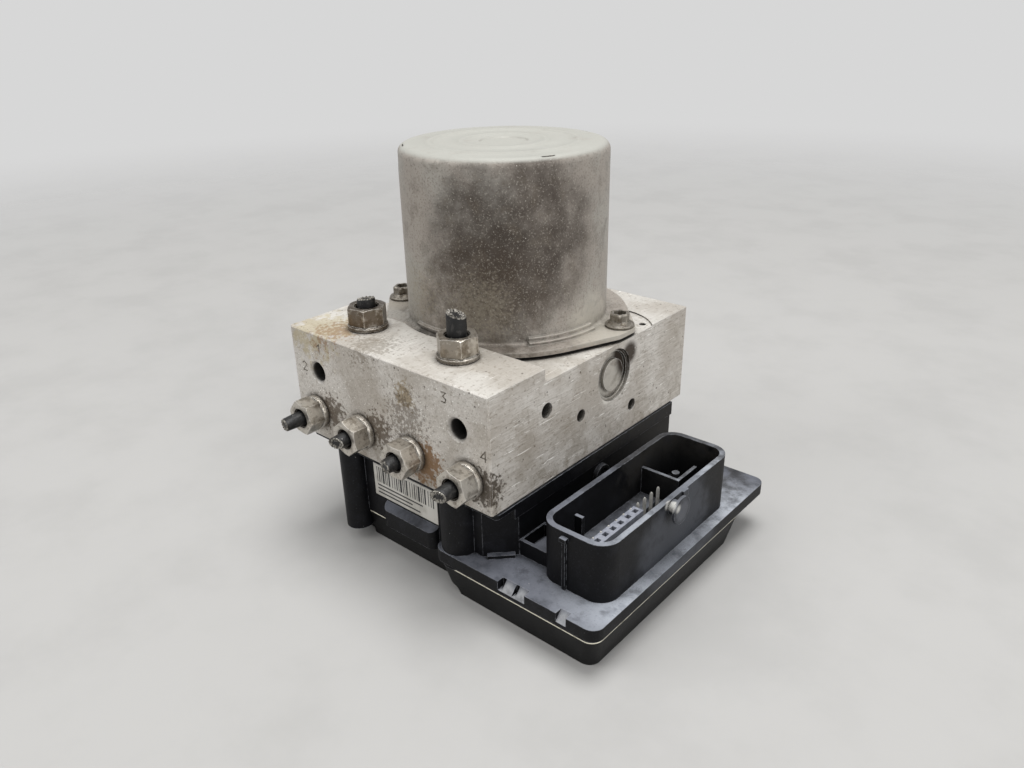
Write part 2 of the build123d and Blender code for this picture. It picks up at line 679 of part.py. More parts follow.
def armature_core():
    """Stack of laminations with twelve open slots."""
    top = CORE_BOTTOM + CORE_LENGTH
    body = ring_z(0, 0, CORE_BOTTOM, top, SHAFT_RADIUS + RUNNING_GAP, CORE_RADIUS)
    for index in range(SLOTS):
        body -= Rot(0, 0, index * 360 / SLOTS) * armature_slot(0, CORE_BOTTOM, top)
    return at_motor(body)


def armature_winding():
    """Copper in the slots with the end turns above and below the core."""
    top = CORE_BOTTOM + CORE_LENGTH
    inside = rod_z(0, 0, CORE_BOTTOM, top, END_TURNS_OUTER)
    body = ring_z(0, 0, CORE_BOTTOM - END_TURNS, CORE_BOTTOM, END_TURNS_INNER, END_TURNS_OUTER)
    body += ring_z(0, 0, top, top + END_TURNS, END_TURNS_INNER, END_TURNS_OUTER)
    for index in range(SLOTS):
        bar = armature_slot(WINDING_GAP, CORE_BOTTOM, top) & inside
        body += Rot(0, 0, index * 360 / SLOTS) * bar
    return at_motor(body)


def commutator():
    """Commutator drum with its bars parted by shallow grooves."""
    top = COMMUTATOR_BOTTOM + COMMUTATOR_LENGTH
    body = ring_z(0, 0, COMMUTATOR_BOTTOM, top, SHAFT_RADIUS + RUNNING_GAP, COMMUTATOR_RADIUS)
    for index in range(COMMUTATOR_BARS):
        groove = slab(COMMUTATOR_RADIUS - 0.8, COMMUTATOR_RADIUS + 1, -0.3, 0.3, COMMUTATOR_BOTTOM, top)
        body -= Rot(0, 0, index * 360 / COMMUTATOR_BARS) * groove
    return at_motor(body)


def brush_plate():
    """Moulded plate with a holder on each side for the brushes."""
    body = ring_z(0, 0, PLATE_TOP, BRUSH_TOP, BRUSH_PLATE_BORE, CAN_INNER - SEAT_GAP)
    inner = COMMUTATOR_RADIUS + BRUSH_GAP
    for side in (0, 180):
        base = slab(BRUSH_PLATE_BORE + 0.5, inner + BRUSH_LENGTH + 2, -4.5, 4.5, BRUSH_TOP, COMMUTATOR_BOTTOM + 1)
        back = slab(inner + BRUSH_LENGTH, inner + BRUSH_LENGTH + 2, -4.5, 4.5, BRUSH_TOP, COMMUTATOR_BOTTOM + 1 + BRUSH_HEIGHT)
        body += Rot(0, 0, side) * base
        body += Rot(0, 0, side) * back
    for side in (-1, 1):
        body -= rod_z(side * CONTACT_PITCH / 2, CONTACT_OFFSET, PLATE_TOP, BRUSH_TOP, CONTACT_RADIUS + RUNNING_GAP)
    return at_motor(body)


def brushes():
    """Two carbon brushes against the commutator."""
    inner = COMMUTATOR_RADIUS + BRUSH_GAP
    bottom = COMMUTATOR_BOTTOM + 1
    brush = slab(inner, inner + BRUSH_LENGTH, -BRUSH_WIDTH / 2, BRUSH_WIDTH / 2, bottom, bottom + BRUSH_HEIGHT)
    return [at_motor(Rot(0, 0, side) * brush) for side in (0, 180)]


def motor_contacts():
    """Two pins from the brush plate through the block to the circuit board."""
    pins = []
    for side in (-1, 1):
        x = MOTOR_X + side * CONTACT_PITCH / 2
        pins.append(rod_z(x, CONTACT_Y, -BOARD_TOP, BRUSH_TOP, CONTACT_RADIUS))
    return pins


def contact_carrier():
    """Insulating plug round the motor contacts inside the block."""
    body = rod_z(MOTOR_X, CONTACT_Y, 0, PLATE_TOP, CARRIER_RADIUS)
    for side in (-1, 1):
        x = MOTOR_X + side * CONTACT_PITCH / 2
        body -= rod_z(x, CONTACT_Y, 0, PLATE_TOP, CONTACT_RADIUS + RUNNING_GAP)
    return body


# ---------------------------------------------------------------- pump
def side_turned(points, side):
    """Solid of revolution about the pump axis from (radius, distance) points."""
    turn = Rot(0, 90, 0) if side > 0 else Rot(0, -90, 0)
    return Pos(MOTOR_X, MOTOR_Y, PUMP_HEIGHT) * turn * turned(points)


def pump_piston(side):
    """Piston rod with its spring collar."""
    end = SLEEVE_GUIDE + PISTON_CLEARANCE
    return side_turned(
        [
            (0, PISTON_START),
            (PISTON_RADIUS, PISTON_START),
            (PISTON_RADIUS, end),
            (PISTON_COLLAR, end),
            (PISTON_COLLAR, end + PISTON_COLLAR_LENGTH),
            (0, end + PISTON_COLLAR_LENGTH),
        ],
        side,
    )


def pump_sleeve(side):
    """Guide for the piston, opening into the spring chamber."""
    bore = PISTON_RADIUS + RUNNING_GAP
    outer = SLEEVE_RADIUS - SEAT_GAP
    return side_turned(
        [
            (bore, SLEEVE_START),
            (outer, SLEEVE_START),
            (outer, SLEEVE_END),
            (SLEEVE_CHAMBER, SLEEVE_END),
            (SLEEVE_CHAMBER, SLEEVE_GUIDE),
            (bore, SLEEVE_GUIDE),
        ],
        side,
    )


def pump_plug(side):
    """Plug whose head has a groove between its rim and a middle boss."""
    face = HALF_X - side * MOTOR_X
    shank = SLEEVE_RADIUS - THREAD_GAP
    rim = PLUG_RADIUS - THREAD_GAP
    return side_turned(
        [
            (0, SLEEVE_END),
            (shank, SLEEVE_END),
            (shank, face - PLUG_SINK),
            (rim, face - PLUG_SINK),
            (rim, face - PLUG_RECESS),
            (rim - PLUG_RIM, face - PLUG_RECESS),
            (rim - PLUG_RIM, face - PLUG_SINK + PLUG_HEAD),
            (PLUG_BOSS_RADIUS, face - PLUG_SINK + PLUG_HEAD),
            (PLUG_BOSS_RADIUS, face - PLUG_BOSS_RECESS),
            (0, face - PLUG_BOSS_RECESS),
        ],
        side,
    )


def coil_spring(radius, wire, length, turns):
    """Square-wire compression spring standing on the XY plane."""
    height = length - wire
    path = Helix(height / turns, height, radius)
    start = Plane(path @ 0, x_dir=(0, 0, 1), z_dir=path % 0)
    wire_body = sweep(start * Rectangle(wire, wire), path, is_frenet=True)
    return Pos(0, 0, wire / 2) * wire_body


def pump_spring(side):
    """Return spring between the piston's collar and the plug."""
    start = SLEEVE_GUIDE + PISTON_CLEARANCE + PISTON_COLLAR_LENGTH
    spring = coil_spring(PUMP_SPRING_RADIUS, SPRING_WIRE, SLEEVE_END - start - 0.1, PUMP_SPRING_TURNS)
    turn = Rot(0, 90, 0) if side > 0 else Rot(0, -90, 0)
    return Pos(MOTOR_X, MOTOR_Y, PUMP_HEIGHT) * turn * Pos(0, 0, start + 0.05) * spring


# ---------------------------------------------------------------- accumulators
def accumulator_piston(side):
    """Cup-shaped piston at the closed end of its bore."""
    top = ACCUMULATOR_DEPTH - ACCUMULATOR_TOP_GAP
    bottom = top - ACCUMULATOR_PISTON
    radius = ACCUMULATOR_RADIUS - SEAT_GAP
    skirt = radius - 1.6
    body = turned(
        [
            (0, top),
            (radius, top),
            (radius, bottom),
            (skirt, bottom),
            (skirt, bottom + ACCUMULATOR_PISTON / 2),
            (0, bottom + ACCUMULATOR_PISTON / 2),
        ]
    )
    return Pos(side * ACCUMULATOR_X, ACCUMULATOR_Y, 0) * body


def accumulator_spring(side):
    """Spring between cap and piston."""
    start = ACCUMULATOR_CAP
    top = ACCUMULATOR_DEPTH - ACCUMULATOR_TOP_GAP - ACCUMULATOR_PISTON / 2
    spring = coil_spring(
        ACCUMULATOR_SPRING_RADIUS,
        ACCUMULATOR_SPRING_WIRE,
        top - start - 0.1,
        ACCUMULATOR_SPRING_TURNS,
    )
    return Pos(side * ACCUMULATOR_X, ACCUMULATOR_Y, start + 0.05) * spring


def accumulator_caps():
    """Caps flush with the block's underside."""
    caps = []
    for side in (-1, 1):
        radius = ACCUMULATOR_RADIUS - SEAT_GAP
        caps.append(rod_z(side * ACCUMULATOR_X, ACCUMULATOR_Y, 0, ACCUMULATOR_CAP, radius))
    return caps


# ---------------------------------------------------------------- valves
def valve_body(x, y):
    """Valve cartridge with its closed dome below the block."""
    collar = VALVE_RADIUS - SEAT_GAP
    stem = VALVE_STEM - SEAT_GAP
    body = turned(
        [
            (VALVE_BORE, VALVE_DEPTH - 0.5),
            (stem, VALVE_DEPTH - 0.5),
            (stem, VALVE_COLLAR),
            (collar, VALVE_COLLAR - SEAT_GAP),
            (collar, 0),
            (DOME_RADIUS, 0),
            (DOME_RADIUS, -DOME_DEPTH),
            (0, -DOME_DEPTH),
            (0, -DOME_DEPTH + DOME_END),
            (DOME_BORE, -DOME_DEPTH + DOME_END),
            (DOME_BORE, -POLE_DEPTH),
            (VALVE_BORE, -POLE_DEPTH),
        ]
    )
    return Pos(x, y, 0) * body


def valve_plunger(x, y, moves_up):
    """Armature and pushrod, at the end of the dome it rests at."""
    low = -DOME_DEPTH + DOME_END + SEAT_GAP
    high = -POLE_DEPTH - SEAT_GAP
    if moves_up:
        high -= PLUNGER_STROKE + PLUNGER_AIR
    else:
        low += PLUNGER_STROKE + PLUNGER_AIR
    body = rod_z(x, y, low, high, DOME_BORE - RUNNING_GAP)
    return body + rod_z(x, y, high, high + PUSHROD_LENGTH, VALVE_BORE - RUNNING_GAP)


def valve_coil(x, y):
    """Winding on its bobbin with the two pins that reach the circuit board."""
    body = ring_z(x, y, -COIL_BOTTOM, -COIL_TOP, COIL_INNER, COIL_OUTER)
    for side in (-1, 1):
        pin_x = x + side * COIL_PIN_OFFSET
        body += slab(
            pin_x - COIL_PIN / 2,
            pin_x + COIL_PIN / 2,
            y - COIL_PIN / 2,
            y + COIL_PIN / 2,
            -BOARD_TOP,
            -COIL_BOTTOM,
        )
    return body


def coil_yoke(x, y):
    """Steel cup over the coil with a hole for the dome."""
    inner = COIL_OUTER + SEAT_GAP
    top = -COIL_TOP + YOKE_WALL
    body = ring_z(x, y, -COIL_BOTTOM, top, inner, inner + YOKE_WALL)
    return body + ring_z(x, y, -COIL_TOP, top, COIL_INNER, inner + YOKE_WALL)


def valve_grid(make, rows):
    """One piece at every valve place of the given rows."""
    return [make(x, y) for y in rows for x in VALVE_X]


# ---------------------------------------------------------------- nuts and pipes
def union_nut(flats, collar, collar_length, hex_length, thread, bore, mouth, turn):
    """Union nut standing on XY, thread down, with a bevelled hexagon on a round collar."""
    top = collar_length + hex_length
    corner = flats / math.sqrt(3)
    outline = RegularPolygon(flats / 2, 6, major_radius=False)
    envelope = turned(
        [
            (0, collar_length),
            (corner, collar_length + NUT_BEVEL / 2),
            (corner, top - NUT_BEVEL),
            (flats / 2 - 0.3, top),
            (0, top),
        ]
    )
    hexagon = Pos(0, 0, collar_length) * Rot(0, 0, turn) * extrude(outline, hex_length)
    neck = flats / 2
    foot = turned(
        [
            (0, 0),
            (collar, 0),
            (collar, collar_length / 2),
            (neck, collar_length),
            (neck - NUT_BEVEL, collar_length + NUT_BEVEL),
            (0, collar_length + NUT_BEVEL),
        ]
    )
    body = foot + (hexagon & envelope)
    body += rod_z(0, 0, -NUT_SHANK, collar_length / 2, thread - THREAD_GAP)
    body -= rod_z(0, 0, -NUT_SHANK, top, bore)
    if mouth > bore:
        body -= rod_z(0, 0, top - 1.0, top, mouth)
    return body


def cut_pipe(radius, start, end, cut_angle):
    """Thin tube along Z whose far end is sheared off at a slant."""
    tube = rod_z(0, 0, start, end, radius) - rod_z(0, 0, start, end, radius - PIPE_WALL)
    drop = radius * abs(math.tan(math.radians(cut_angle)))
    blade = Pos(0, 0, end - drop) * Rot(cut_angle, 0, 0) * Box(6 * radius, 6 * radius, 3 * radius, align=LOW)
    return tube - blade


def wheel_place(index):
    """Frame of one wheel port, with Z pointing out of the port face."""
    return Pos(WHEEL_PORT_X[index], PORT_FACE, WHEEL_PORT_Z) * Rot(90, 0, 0)


def wheel_port_nuts():
    """Four nuts on the port face, each stopped at its own angle."""
    nuts = []
    for index, turn in enumerate(WHEEL_NUT_TURNS):
        nut = union_nut(
            WHEEL_NUT_FLATS,
            WHEEL_NUT_COLLAR,
            WHEEL_NUT_COLLAR_LENGTH,
            WHEEL_NUT_HEX_LENGTH,
            WHEEL_THREAD,
            WHEEL_PIPE + PIPE_GAP,
            0,
            turn,
        )
        nuts.append(wheel_place(index) * nut)
    return nuts


def wheel_pipe_stubs():
    """What is left of the four wheel pipes."""
    stubs = []
    for index, stub in enumerate(WHEEL_STUBS):
        pipe = cut_pipe(WHEEL_PIPE, -PIPE_SINK, WHEEL_NUT_REACH + stub, WHEEL_CUT_ANGLES[index])
        stubs.append(wheel_place(index) * pipe)
    return stubs


def master_port_nuts():
    """Two larger nuts on top of the strip."""
    nuts = []
    for index, (x, y) in enumerate(MASTER_PORTS):
        nut = union_nut(
            MASTER_NUT_FLATS,
            MASTER_NUT_COLLAR,
            MASTER_NUT_COLLAR_LENGTH,
            MASTER_NUT_HEX_LENGTH,
            MASTER_THREAD,
            MASTER_PIPE + PIPE_GAP,
            MASTER_NUT_MOUTH,
            MASTER_NUT_TURNS[index],
        )
        nuts.append(Pos(x, y, BLOCK_Z) * nut)
    return nuts


def master_pipe_stubs():
    """What is left of the two coated master cylinder pipes."""
    reach = MASTER_NUT_COLLAR_LENGTH + MASTER_NUT_HEX_LENGTH
    stubs = []
    for index, (x, y) in enumerate(MASTER_PORTS):
        pipe = cut_pipe(MASTER_PIPE, -PIPE_SINK, reach + MASTER_STUBS[index], MASTER_CUT_ANGLES[index])
        stubs.append(Pos(x, y, BLOCK_Z) * pipe)
    return stubs


# ---------------------------------------------------------------- control unit housing
def body_outline(inset, z0, z1):
    """Main body with its set-back front left corner, drawn in by `inset`."""
    radius = max(CORNER_RADIUS - inset, MIN_CORNER)
    left = HOUSING_LEFT + inset
    right = HOUSING_RIGHT - inset
    back = HOUSING_BACK - inset
    body = slab(left, right, HOUSING_FRONT + NOTCH_Y + inset, back, z0, z1, radius)
    return body + slab(left + NOTCH_X, right, HOUSING_FRONT + inset, back - CORNER_RADIUS, z0, z1, radius / 4)


def upper_outline(inset, z0, z1):
    """Body above the wing plate: right wall set in, front right corner slanted."""
    body = body_outline(inset, z0, z1)
    body &= slab(HOUSING_LEFT, UPPER_RIGHT - inset, HOUSING_FRONT, HOUSING_BACK, z0, z1)
    side = 2 * (UPPER_SLANT + inset)
    corner = Pos(UPPER_RIGHT, HOUSING_FRONT, z0) * Rot(0, 0, 45) * Box(side, side, z1 - z0, align=LOW)
    return body - corner


def window_outline(z0, z1):
    """Open middle of the rim and of the gasket on it."""
    window = upper_outline(HOUSING_WALL, z0, z1)
    return window & slab(HOUSING_LEFT, RIM_RIGHT - RIM_WALL, HOUSING_FRONT, HOUSING_BACK, z0, z1)


def seam_outline(inset, z0, z1):
    """Outline shared by housing, seal, cover and circuit board, drawn in by `inset`."""
    radius = max(WING_CORNER - inset, MIN_CORNER)
    edge = WING_STEP + inset
    wing = slab(
        WING_LEFT + edge,
        WING_RIGHT - edge,
        WING_FRONT + edge,
        WING_SEAM_BACK - inset,
        z0,
        z1,
        radius,
    )
    return body_outline(inset, z0, z1) + wing


def columns(z0, z1, extra):
    """Rods at the four screw columns, `extra` wider than the columns."""
    body = None
    for x, y, radius in COLUMNS:
        rod = rod_z(x, y, z0, z1, radius + extra)
        body = rod if body is None else body + rod
    return body


def housing_shell():
    """Body, wing plate and rim before anything is hollowed."""
    body = body_outline(0, SEAM_TOP, -WING_TOP)
    body += slab(WING_LEFT, WING_RIGHT, WING_FRONT, WING_BACK, -WING_TOP - WING_EDGE, -WING_TOP, WING_CORNER)
    body += seam_outline(0, SEAM_TOP, -WING_TOP - WING_EDGE)
    body += upper_outline(0, -WING_TOP, -GASKET_THICKNESS)
    rim_bottom = -GASKET_THICKNESS - RIM_THICKNESS
    body += slab(RIM_LEFT, RIM_RIGHT, RIM_FRONT, HOUSING_BACK, rim_bottom, -GASKET_THICKNESS, RIM_CORNER)
    band_front = HOUSING_FRONT + UPPER_SLANT
    return body + slab(UPPER_RIGHT - 1, RIM_RIGHT, band_front, HOUSING_BACK, -RIM_BAND, -GASKET_THICKNESS)


def slant_foot():
    """Low ledge along the foot of the slanted corner."""
    length, width, height = SLANT_FOOT
    middle = UPPER_SLANT / math.sqrt(2)
    place_at = Pos(UPPER_RIGHT - middle, HOUSING_FRONT + middle, -WING_TOP) * Rot(0, 0, 45)
    return place_at * Box(length, width, height, align=LOW)


def housing_columns():
    """The four screw columns with the rounded corner round the left one."""
    body = None
    for x, y, radius in COLUMNS[1:]:
        rod = rod_z(x, y, SEAM_TOP, -GASKET_THICKNESS, radius)
        body = rod if body is None else body + rod
    x, y, radius = LEFT_COLUMN
    return body + rod_z(x, y, -LEFT_COLUMN_BOTTOM, -GASKET_THICKNESS, radius)


def housing_hollows():
    """Space inside the walls, open to the block above and the cover below."""
    cut = seam_outline(HOUSING_WALL, -COVER_BOTTOM, -WING_TOP - HOUSING_WALL)
    cut += window_outline(-COVER_BOTTOM, 0)
    cut += slab(
        SHROUD_LEFT + HOUSING_WALL,
        SHROUD_RIGHT - HOUSING_WALL,
        SHROUD_FRONT + HOUSING_WALL,
        SHROUD_BACK - HOUSING_WALL,
        -WING_TOP - HOUSING_WALL,
        -SHROUD_FLOOR - CARRIER_THICKNESS,
        SHROUD_CORNER - HOUSING_WALL,
    )
    return cut


def shroud():
    """Connector shroud round its socket."""
    body = slab(SHROUD_LEFT, SHROUD_RIGHT, SHROUD_FRONT, SHROUD_BACK, -WING_TOP, -SHROUD_TOP, SHROUD_CORNER)
    socket = slab(
        SHROUD_LEFT + SHROUD_WALL,
        SHROUD_RIGHT - SHROUD_WALL,
        SHROUD_FRONT + SHROUD_WALL,
        SHROUD_BACK - SHROUD_WALL,
        -SHROUD_FLOOR,
        0,
        SHROUD_CORNER - SHROUD_WALL,
    )
    body -= socket
    half = DIVIDER_WALL / 2
    wall_x = SHROUD_LEFT + SHROUD_WALL / 2
    body += slab(wall_x, DIVIDER_X + half, DIVIDER_Y - half, DIVIDER_Y + half, -SHROUD_FLOOR, -DIVIDER_TOP)
    body += slab(DIVIDER_X - half, DIVIDER_X + half, DIVIDER_Y, DIVIDER_BACK, -SHROUD_FLOOR, -DIVIDER_TOP)
    body += rod_z(DIVIDER_X - PEG_INSET, DIVIDER_Y + PEG_INSET, -SHROUD_FLOOR, -DIVIDER_TOP + 1, PEG_RADIUS)
    return body + slab(KEY_X[0], KEY_X[1], KEY_Y - half, KEY_Y + half, -SHROUD_FLOOR, -KEY_TOP)


def shroud_details():
    """Lever boss, rim tab and key rib on the outside of the shroud."""
    disc = SHROUD_RIGHT + BOSS_REACH
    body = rod_x(SHROUD_RIGHT - 1, disc, BOSS_Y, -BOSS_DEPTH, BOSS_RADIUS)
    body += rod_x(disc - BOSS_DISC_THICKNESS, disc, BOSS_Y, -BOSS_DEPTH, BOSS_DISC)
    body += slab(SHROUD_RIGHT - 1, SHROUD_RIGHT + 0.8, RIM_TAB_Y - 1.5, RIM_TAB_Y + 1.5, -3, -SHROUD_TOP)
    front = SHROUD_FRONT
    body += slab(FRONT_KEY_X - 1.2, FRONT_KEY_X + 1.2, front - 1.4, front + 1, -3.6, -2.2)
    return body + slab(FRONT_KEY_X - 0.6, FRONT_KEY_X + 0.6, front - 0.8, front + 1, -WING_TOP, -3.6)


def tray():
    """Low open box between the body's right wall and the shroud."""
    left = UPPER_RIGHT - 1
    body = slab(left, SHROUD_LEFT + 1, TRAY_FRONT, TRAY_BACK, -WING_TOP, -TRAY_TOP)
    pocket_left = UPPER_RIGHT + TRAY_EDGE
    return body - slab(
        pocket_left,
        pocket_left + TRAY_POCKET,
        TRAY_FRONT + TRAY_WALL,
        TRAY_BACK - TRAY_WALL,
        -TRAY_FLOOR,
        0,
    )


def edge_cuts():
    """Sloping cuts and slots along the front edge of the wing plate."""
    back = WING_FRONT + RAMP_RUN
    top = -WING_TOP
    wedge = make_face(Polyline((WING_FRONT, top), (back, top), (WING_FRONT, top - RAMP_DROP), close=True))
    body = None
    for x0, x1 in RAMPS_X:
        cut = Pos(x0, 0, 0) * extrude(Plane.YZ * wedge, x1 - x0)
        body = cut if body is None else body + cut
    for x0, x1 in RAMP_SLOTS_X:
        body += slab(x0, x1, WING_FRONT, back, top - RAMP_DROP, top)
    return body


def bulge():
    """Rounded bulge with a sloping top under the label."""
    front = HOUSING_FRONT - BULGE_REACH
    inside = HOUSING_FRONT + HOUSING_WALL
    outline = make_face(
        Polyline(
            (inside, SEAM_TOP),
            (front, SEAM_TOP),
            (front, -BULGE_TOP - BULGE_SLOPE),
            (HOUSING_FRONT, -BULGE_TOP),
            (inside, -BULGE_TOP),
            close=True,
        )
    )
    width = BULGE_X[1] - BULGE_X[0]
    body = Pos(BULGE_X[0], 0, 0) * extrude(Plane.YZ * outline, width)
    return body & slab(BULGE_X[0], BULGE_X[1], front, inside + 4, SEAM_TOP, 0, BULGE_REACH - 0.1)


def cable_loop():
    """Small arched loop on the right wall."""
    end = UPPER_RIGHT + LOOP_REACH
    ring = rod_x(UPPER_RIGHT - 1, end, LOOP_Y, LOOP_Z, LOOP_RADIUS)
    ring -= rod_x(UPPER_RIGHT, end, LOOP_Y, LOOP_Z, LOOP_RADIUS - LOOP_WALL)
    return ring & slab(UPPER_RIGHT - 1, end, LOOP_Y - LOOP_RADIUS, LOOP_Y + LOOP_RADIUS, LOOP_Z, 0)


def pin_field(margin, z0, z1):
    """Block round all the connector pins."""
    front = PIN_BACK - (PIN_COUNT - 1) * PIN_PITCH
    return slab(PIN_ROWS[0] - margin, PIN_ROWS[-1] + margin, front - margin, PIN_BACK + margin, z0, z1)


def ecu_housing():
    """Whole moulding: walls, columns, wing plate, shroud and small features."""
    body = housing_shell() + housing_columns() + bulge()
    body -= housing_hollows() - columns(-COVER_BOTTOM, 0, 0)
    body += shroud() + tray() + cable_loop() + slant_foot()
    body += shroud_details()
    body -= pin_field(CARRIER_MARGIN, -WING_TOP, -SHROUD_FLOOR)
    body -= edge_cuts()
    for x, y, _radius in COLUMNS:
        body -= rod_z(x, y, -COVER_BOTTOM, 0, COLUMN_BORE)
        body -= rod_z(x, y, -COVER_BOTTOM, -HEAD_SEAT, HEAD_BORE)
    return body


def block_gasket():
    """Flat gasket between the housing's rim and the block."""
    body = slab(
        RIM_LEFT + GASKET_INSET,
        RIM_RIGHT - GASKET_INSET,
        RIM_FRONT + GASKET_INSET,
        HOUSING_BACK - GASKET_INSET,
        -GASKET_THICKNESS,
        0,
        RIM_CORNER,
    )
    body -= window_outline(-GASKET_THICKNESS, 0) - columns(-GASKET_THICKNESS, 0, 0)
    body += columns(-GASKET_THICKNESS, 0, -GASKET_INSET)
    for x, y, _radius in COLUMNS:
        body -= rod_z(x, y, -GASKET_THICKNESS, 0, COLUMN_BORE)
    return body


def unit_screws():
    """Screws that pull the control unit up against the block."""
    screws = []
    for x, y, _radius in COLUMNS:
        screw = rod_z(x, y, -HEAD_SEAT, UNIT_SCREW_SINK, UNIT_SCREW_RADIUS)
        screw += rod_z(x, y, -HEAD_SEAT - UNIT_HEAD_HEIGHT, -HEAD_SEAT, UNIT_HEAD_RADIUS)
        screw -= rod_z(x, y, -HEAD_SEAT - UNIT_HEAD_HEIGHT, -HEAD_SEAT - UNIT_HEAD_HEIGHT / 2, 1.8)
        screws.append(screw)
    return screws


# ---------------------------------------------------------------- cover, seal, board
def screw_access(z0, z1, wall):
    """Ways for the screws through the cover: the left column and three tubes."""
    x, y, radius = LEFT_COLUMN
    body = rod_z(x, y, z0, z1, radius + TUBE_GAP + wall)
    for x, y, _radius in COLUMNS[1:]:
        body += rod_z(x, y, z0, z1, HEAD_BORE + wall)
    return body


def drafted(x0, x1, y0, y1, radius):
    """Cover block whose sides lean in towards the bottom."""
    top = Pos((x0 + x1) / 2, (y0 + y1) / 2, SEAM_BOTTOM) * RectangleRounded(x1 - x0, y1 - y0, radius)
    low = Pos((x0 + x1) / 2, (y0 + y1) / 2, -COVER_BOTTOM) * RectangleRounded(
        x1 - x0 - 2 * COVER_DRAW,
        y1 - y0 - 2 * COVER_DRAW,
        radius,
    )
    return loft([low, top])


def cover_solid():
    """Outside of the cover below the seam."""
    front = HOUSING_FRONT
    body = drafted(HOUSING_LEFT, HOUSING_RIGHT, front + NOTCH_Y, HOUSING_BACK, CORNER_RADIUS)
    body += drafted(HOUSING_LEFT + NOTCH_X, HOUSING_RIGHT, front, HOUSING_BACK - CORNER_RADIUS, CORNER_RADIUS / 2)
    edge = WING_STEP
    wing = drafted(WING_LEFT + edge, WING_RIGHT - edge, WING_FRONT + edge, WING_SEAM_BACK, WING_CORNER)
    return body + wing


def cover_space(extra, z0, z1):
    """Inside of the cover, `extra` further in than its walls, round the screw ways."""
    space = seam_outline(COVER_WALL + COVER_DRAW + extra, z0, z1)
    return space - screw_access(z0, z1, TUBE_WALL + extra)


def ecu_cover():
    """Hollow cover with screw tubes, board standoffs and snap tongues."""
    body = cover_solid() - cover_space(0, FLOOR_INSIDE, SEAM_BOTTOM)
    for x, y in STANDOFFS:
        body += rod_z(x, y, FLOOR_INSIDE, BOARD_BOTTOM, STANDOFF_RADIUS)
    return body - screw_access(-COVER_BOTTOM, SEAM_BOTTOM, 0)


def cover_seal():
    """Pale seal pressed between housing and cover."""
    ring = seam_outline(0, SEAM_BOTTOM, SEAM_TOP)
    ring -= seam_outline(HOUSING_WALL, SEAM_BOTTOM, SEAM_TOP) - screw_access(SEAM_BOTTOM, SEAM_TOP, TUBE_WALL)
    return ring - screw_access(SEAM_BOTTOM, SEAM_TOP, 0)


def circuit_board():
    """Board on the cover's standoffs, cut out round the screw tubes."""
    return cover_space(BOARD_GAP, BOARD_BOTTOM, -BOARD_TOP)


def board_components():
    """Processor, driver chips and capacitors under the board."""
    parts = [slab(0, 20, -10, 10, BOARD_BOTTOM - 2.0, BOARD_BOTTOM)]
    for x in (-22, 30):
        parts.append(slab(x, x + 9, -30, -18, BOARD_BOTTOM - 1.8, BOARD_BOTTOM))
    for x in (-15, 0, 15):
        parts.append(rod_z(x, 28, BOARD_BOTTOM - 5.5, BOARD_BOTTOM, 4.5))
    return parts


def connector_pins():
    """Three rows of round-tipped pins from the board up into the socket."""
    pins = []
    for x in PIN_ROWS:
        for index in range(PIN_COUNT):
            y = PIN_BACK - index * PIN_PITCH
            shaft = slab(x - 0.5, x + 0.5, y - 0.5, y + 0.5, -BOARD_TOP, -PIN_TIP - 0.8)
            tip = loft(
                [
                    Pos(x, y, -PIN_TIP - 0.8) * Rectangle(1.0, 1.0),
                    Pos(x, y, -PIN_TIP) * Rectangle(0.4, 0.4),
                ]
            )
            pins.append(shaft + tip)
    return pins


def pin_carrier():
    """Moulded insert that the pins stand in, flush with the socket's floor."""
    body = pin_field(CARRIER_MARGIN - 0.1, -SHROUD_FLOOR - CARRIER_THICKNESS, -SHROUD_FLOOR)
    for x in PIN_ROWS:
        for index in range(PIN_COUNT):
            y = PIN_BACK - index * PIN_PITCH
            half = 0.5 + RUNNING_GAP
            body -= slab(x - half, x + half, y - half, y + half, -WING_TOP, 0)
    return body


def label_plate():
    """Thin label on the housing's front wall."""
    face = HOUSING_FRONT
    bottom = -LABEL_TOP - LABEL_HEIGHT
    return slab(LABEL_X[0], LABEL_X[1], face - LABEL_THICKNESS, face, bottom, -LABEL_TOP)


# ---------------------------------------------------------------- all nodes
def save_casing():
    save(hydraulic_block(), "hydraulic_block")
    save(drilling_balls(), "drilling_balls")
    save(motor_can(), "motor_can")
    save([flange_screw(x, y) for x, y in screw_places()], "motor_screws")
    save(motor_seal(), "motor_seal")
    save(motor_end_plate(), "motor_end_plate")


def save_motor():
    save(motor_bearing(), "motor_bearing")
    save(motor_top_bush(), "motor_top_bush")
    save(motor_magnets(), "motor_magnets")
    save(motor_shaft(), "motor_shaft")
    save(eccentric_bearing(), "eccentric_bearing")
    save(armature_core(), "armature_core")
    save(armature_winding(), "armature_winding")
    save(commutator(), "commutator")
    save(brush_plate(), "brush_plate")
    save(brushes(), "brushes")
    save(motor_contacts(), "motor_contacts")
    save(contact_carrier(), "contact_carrier")


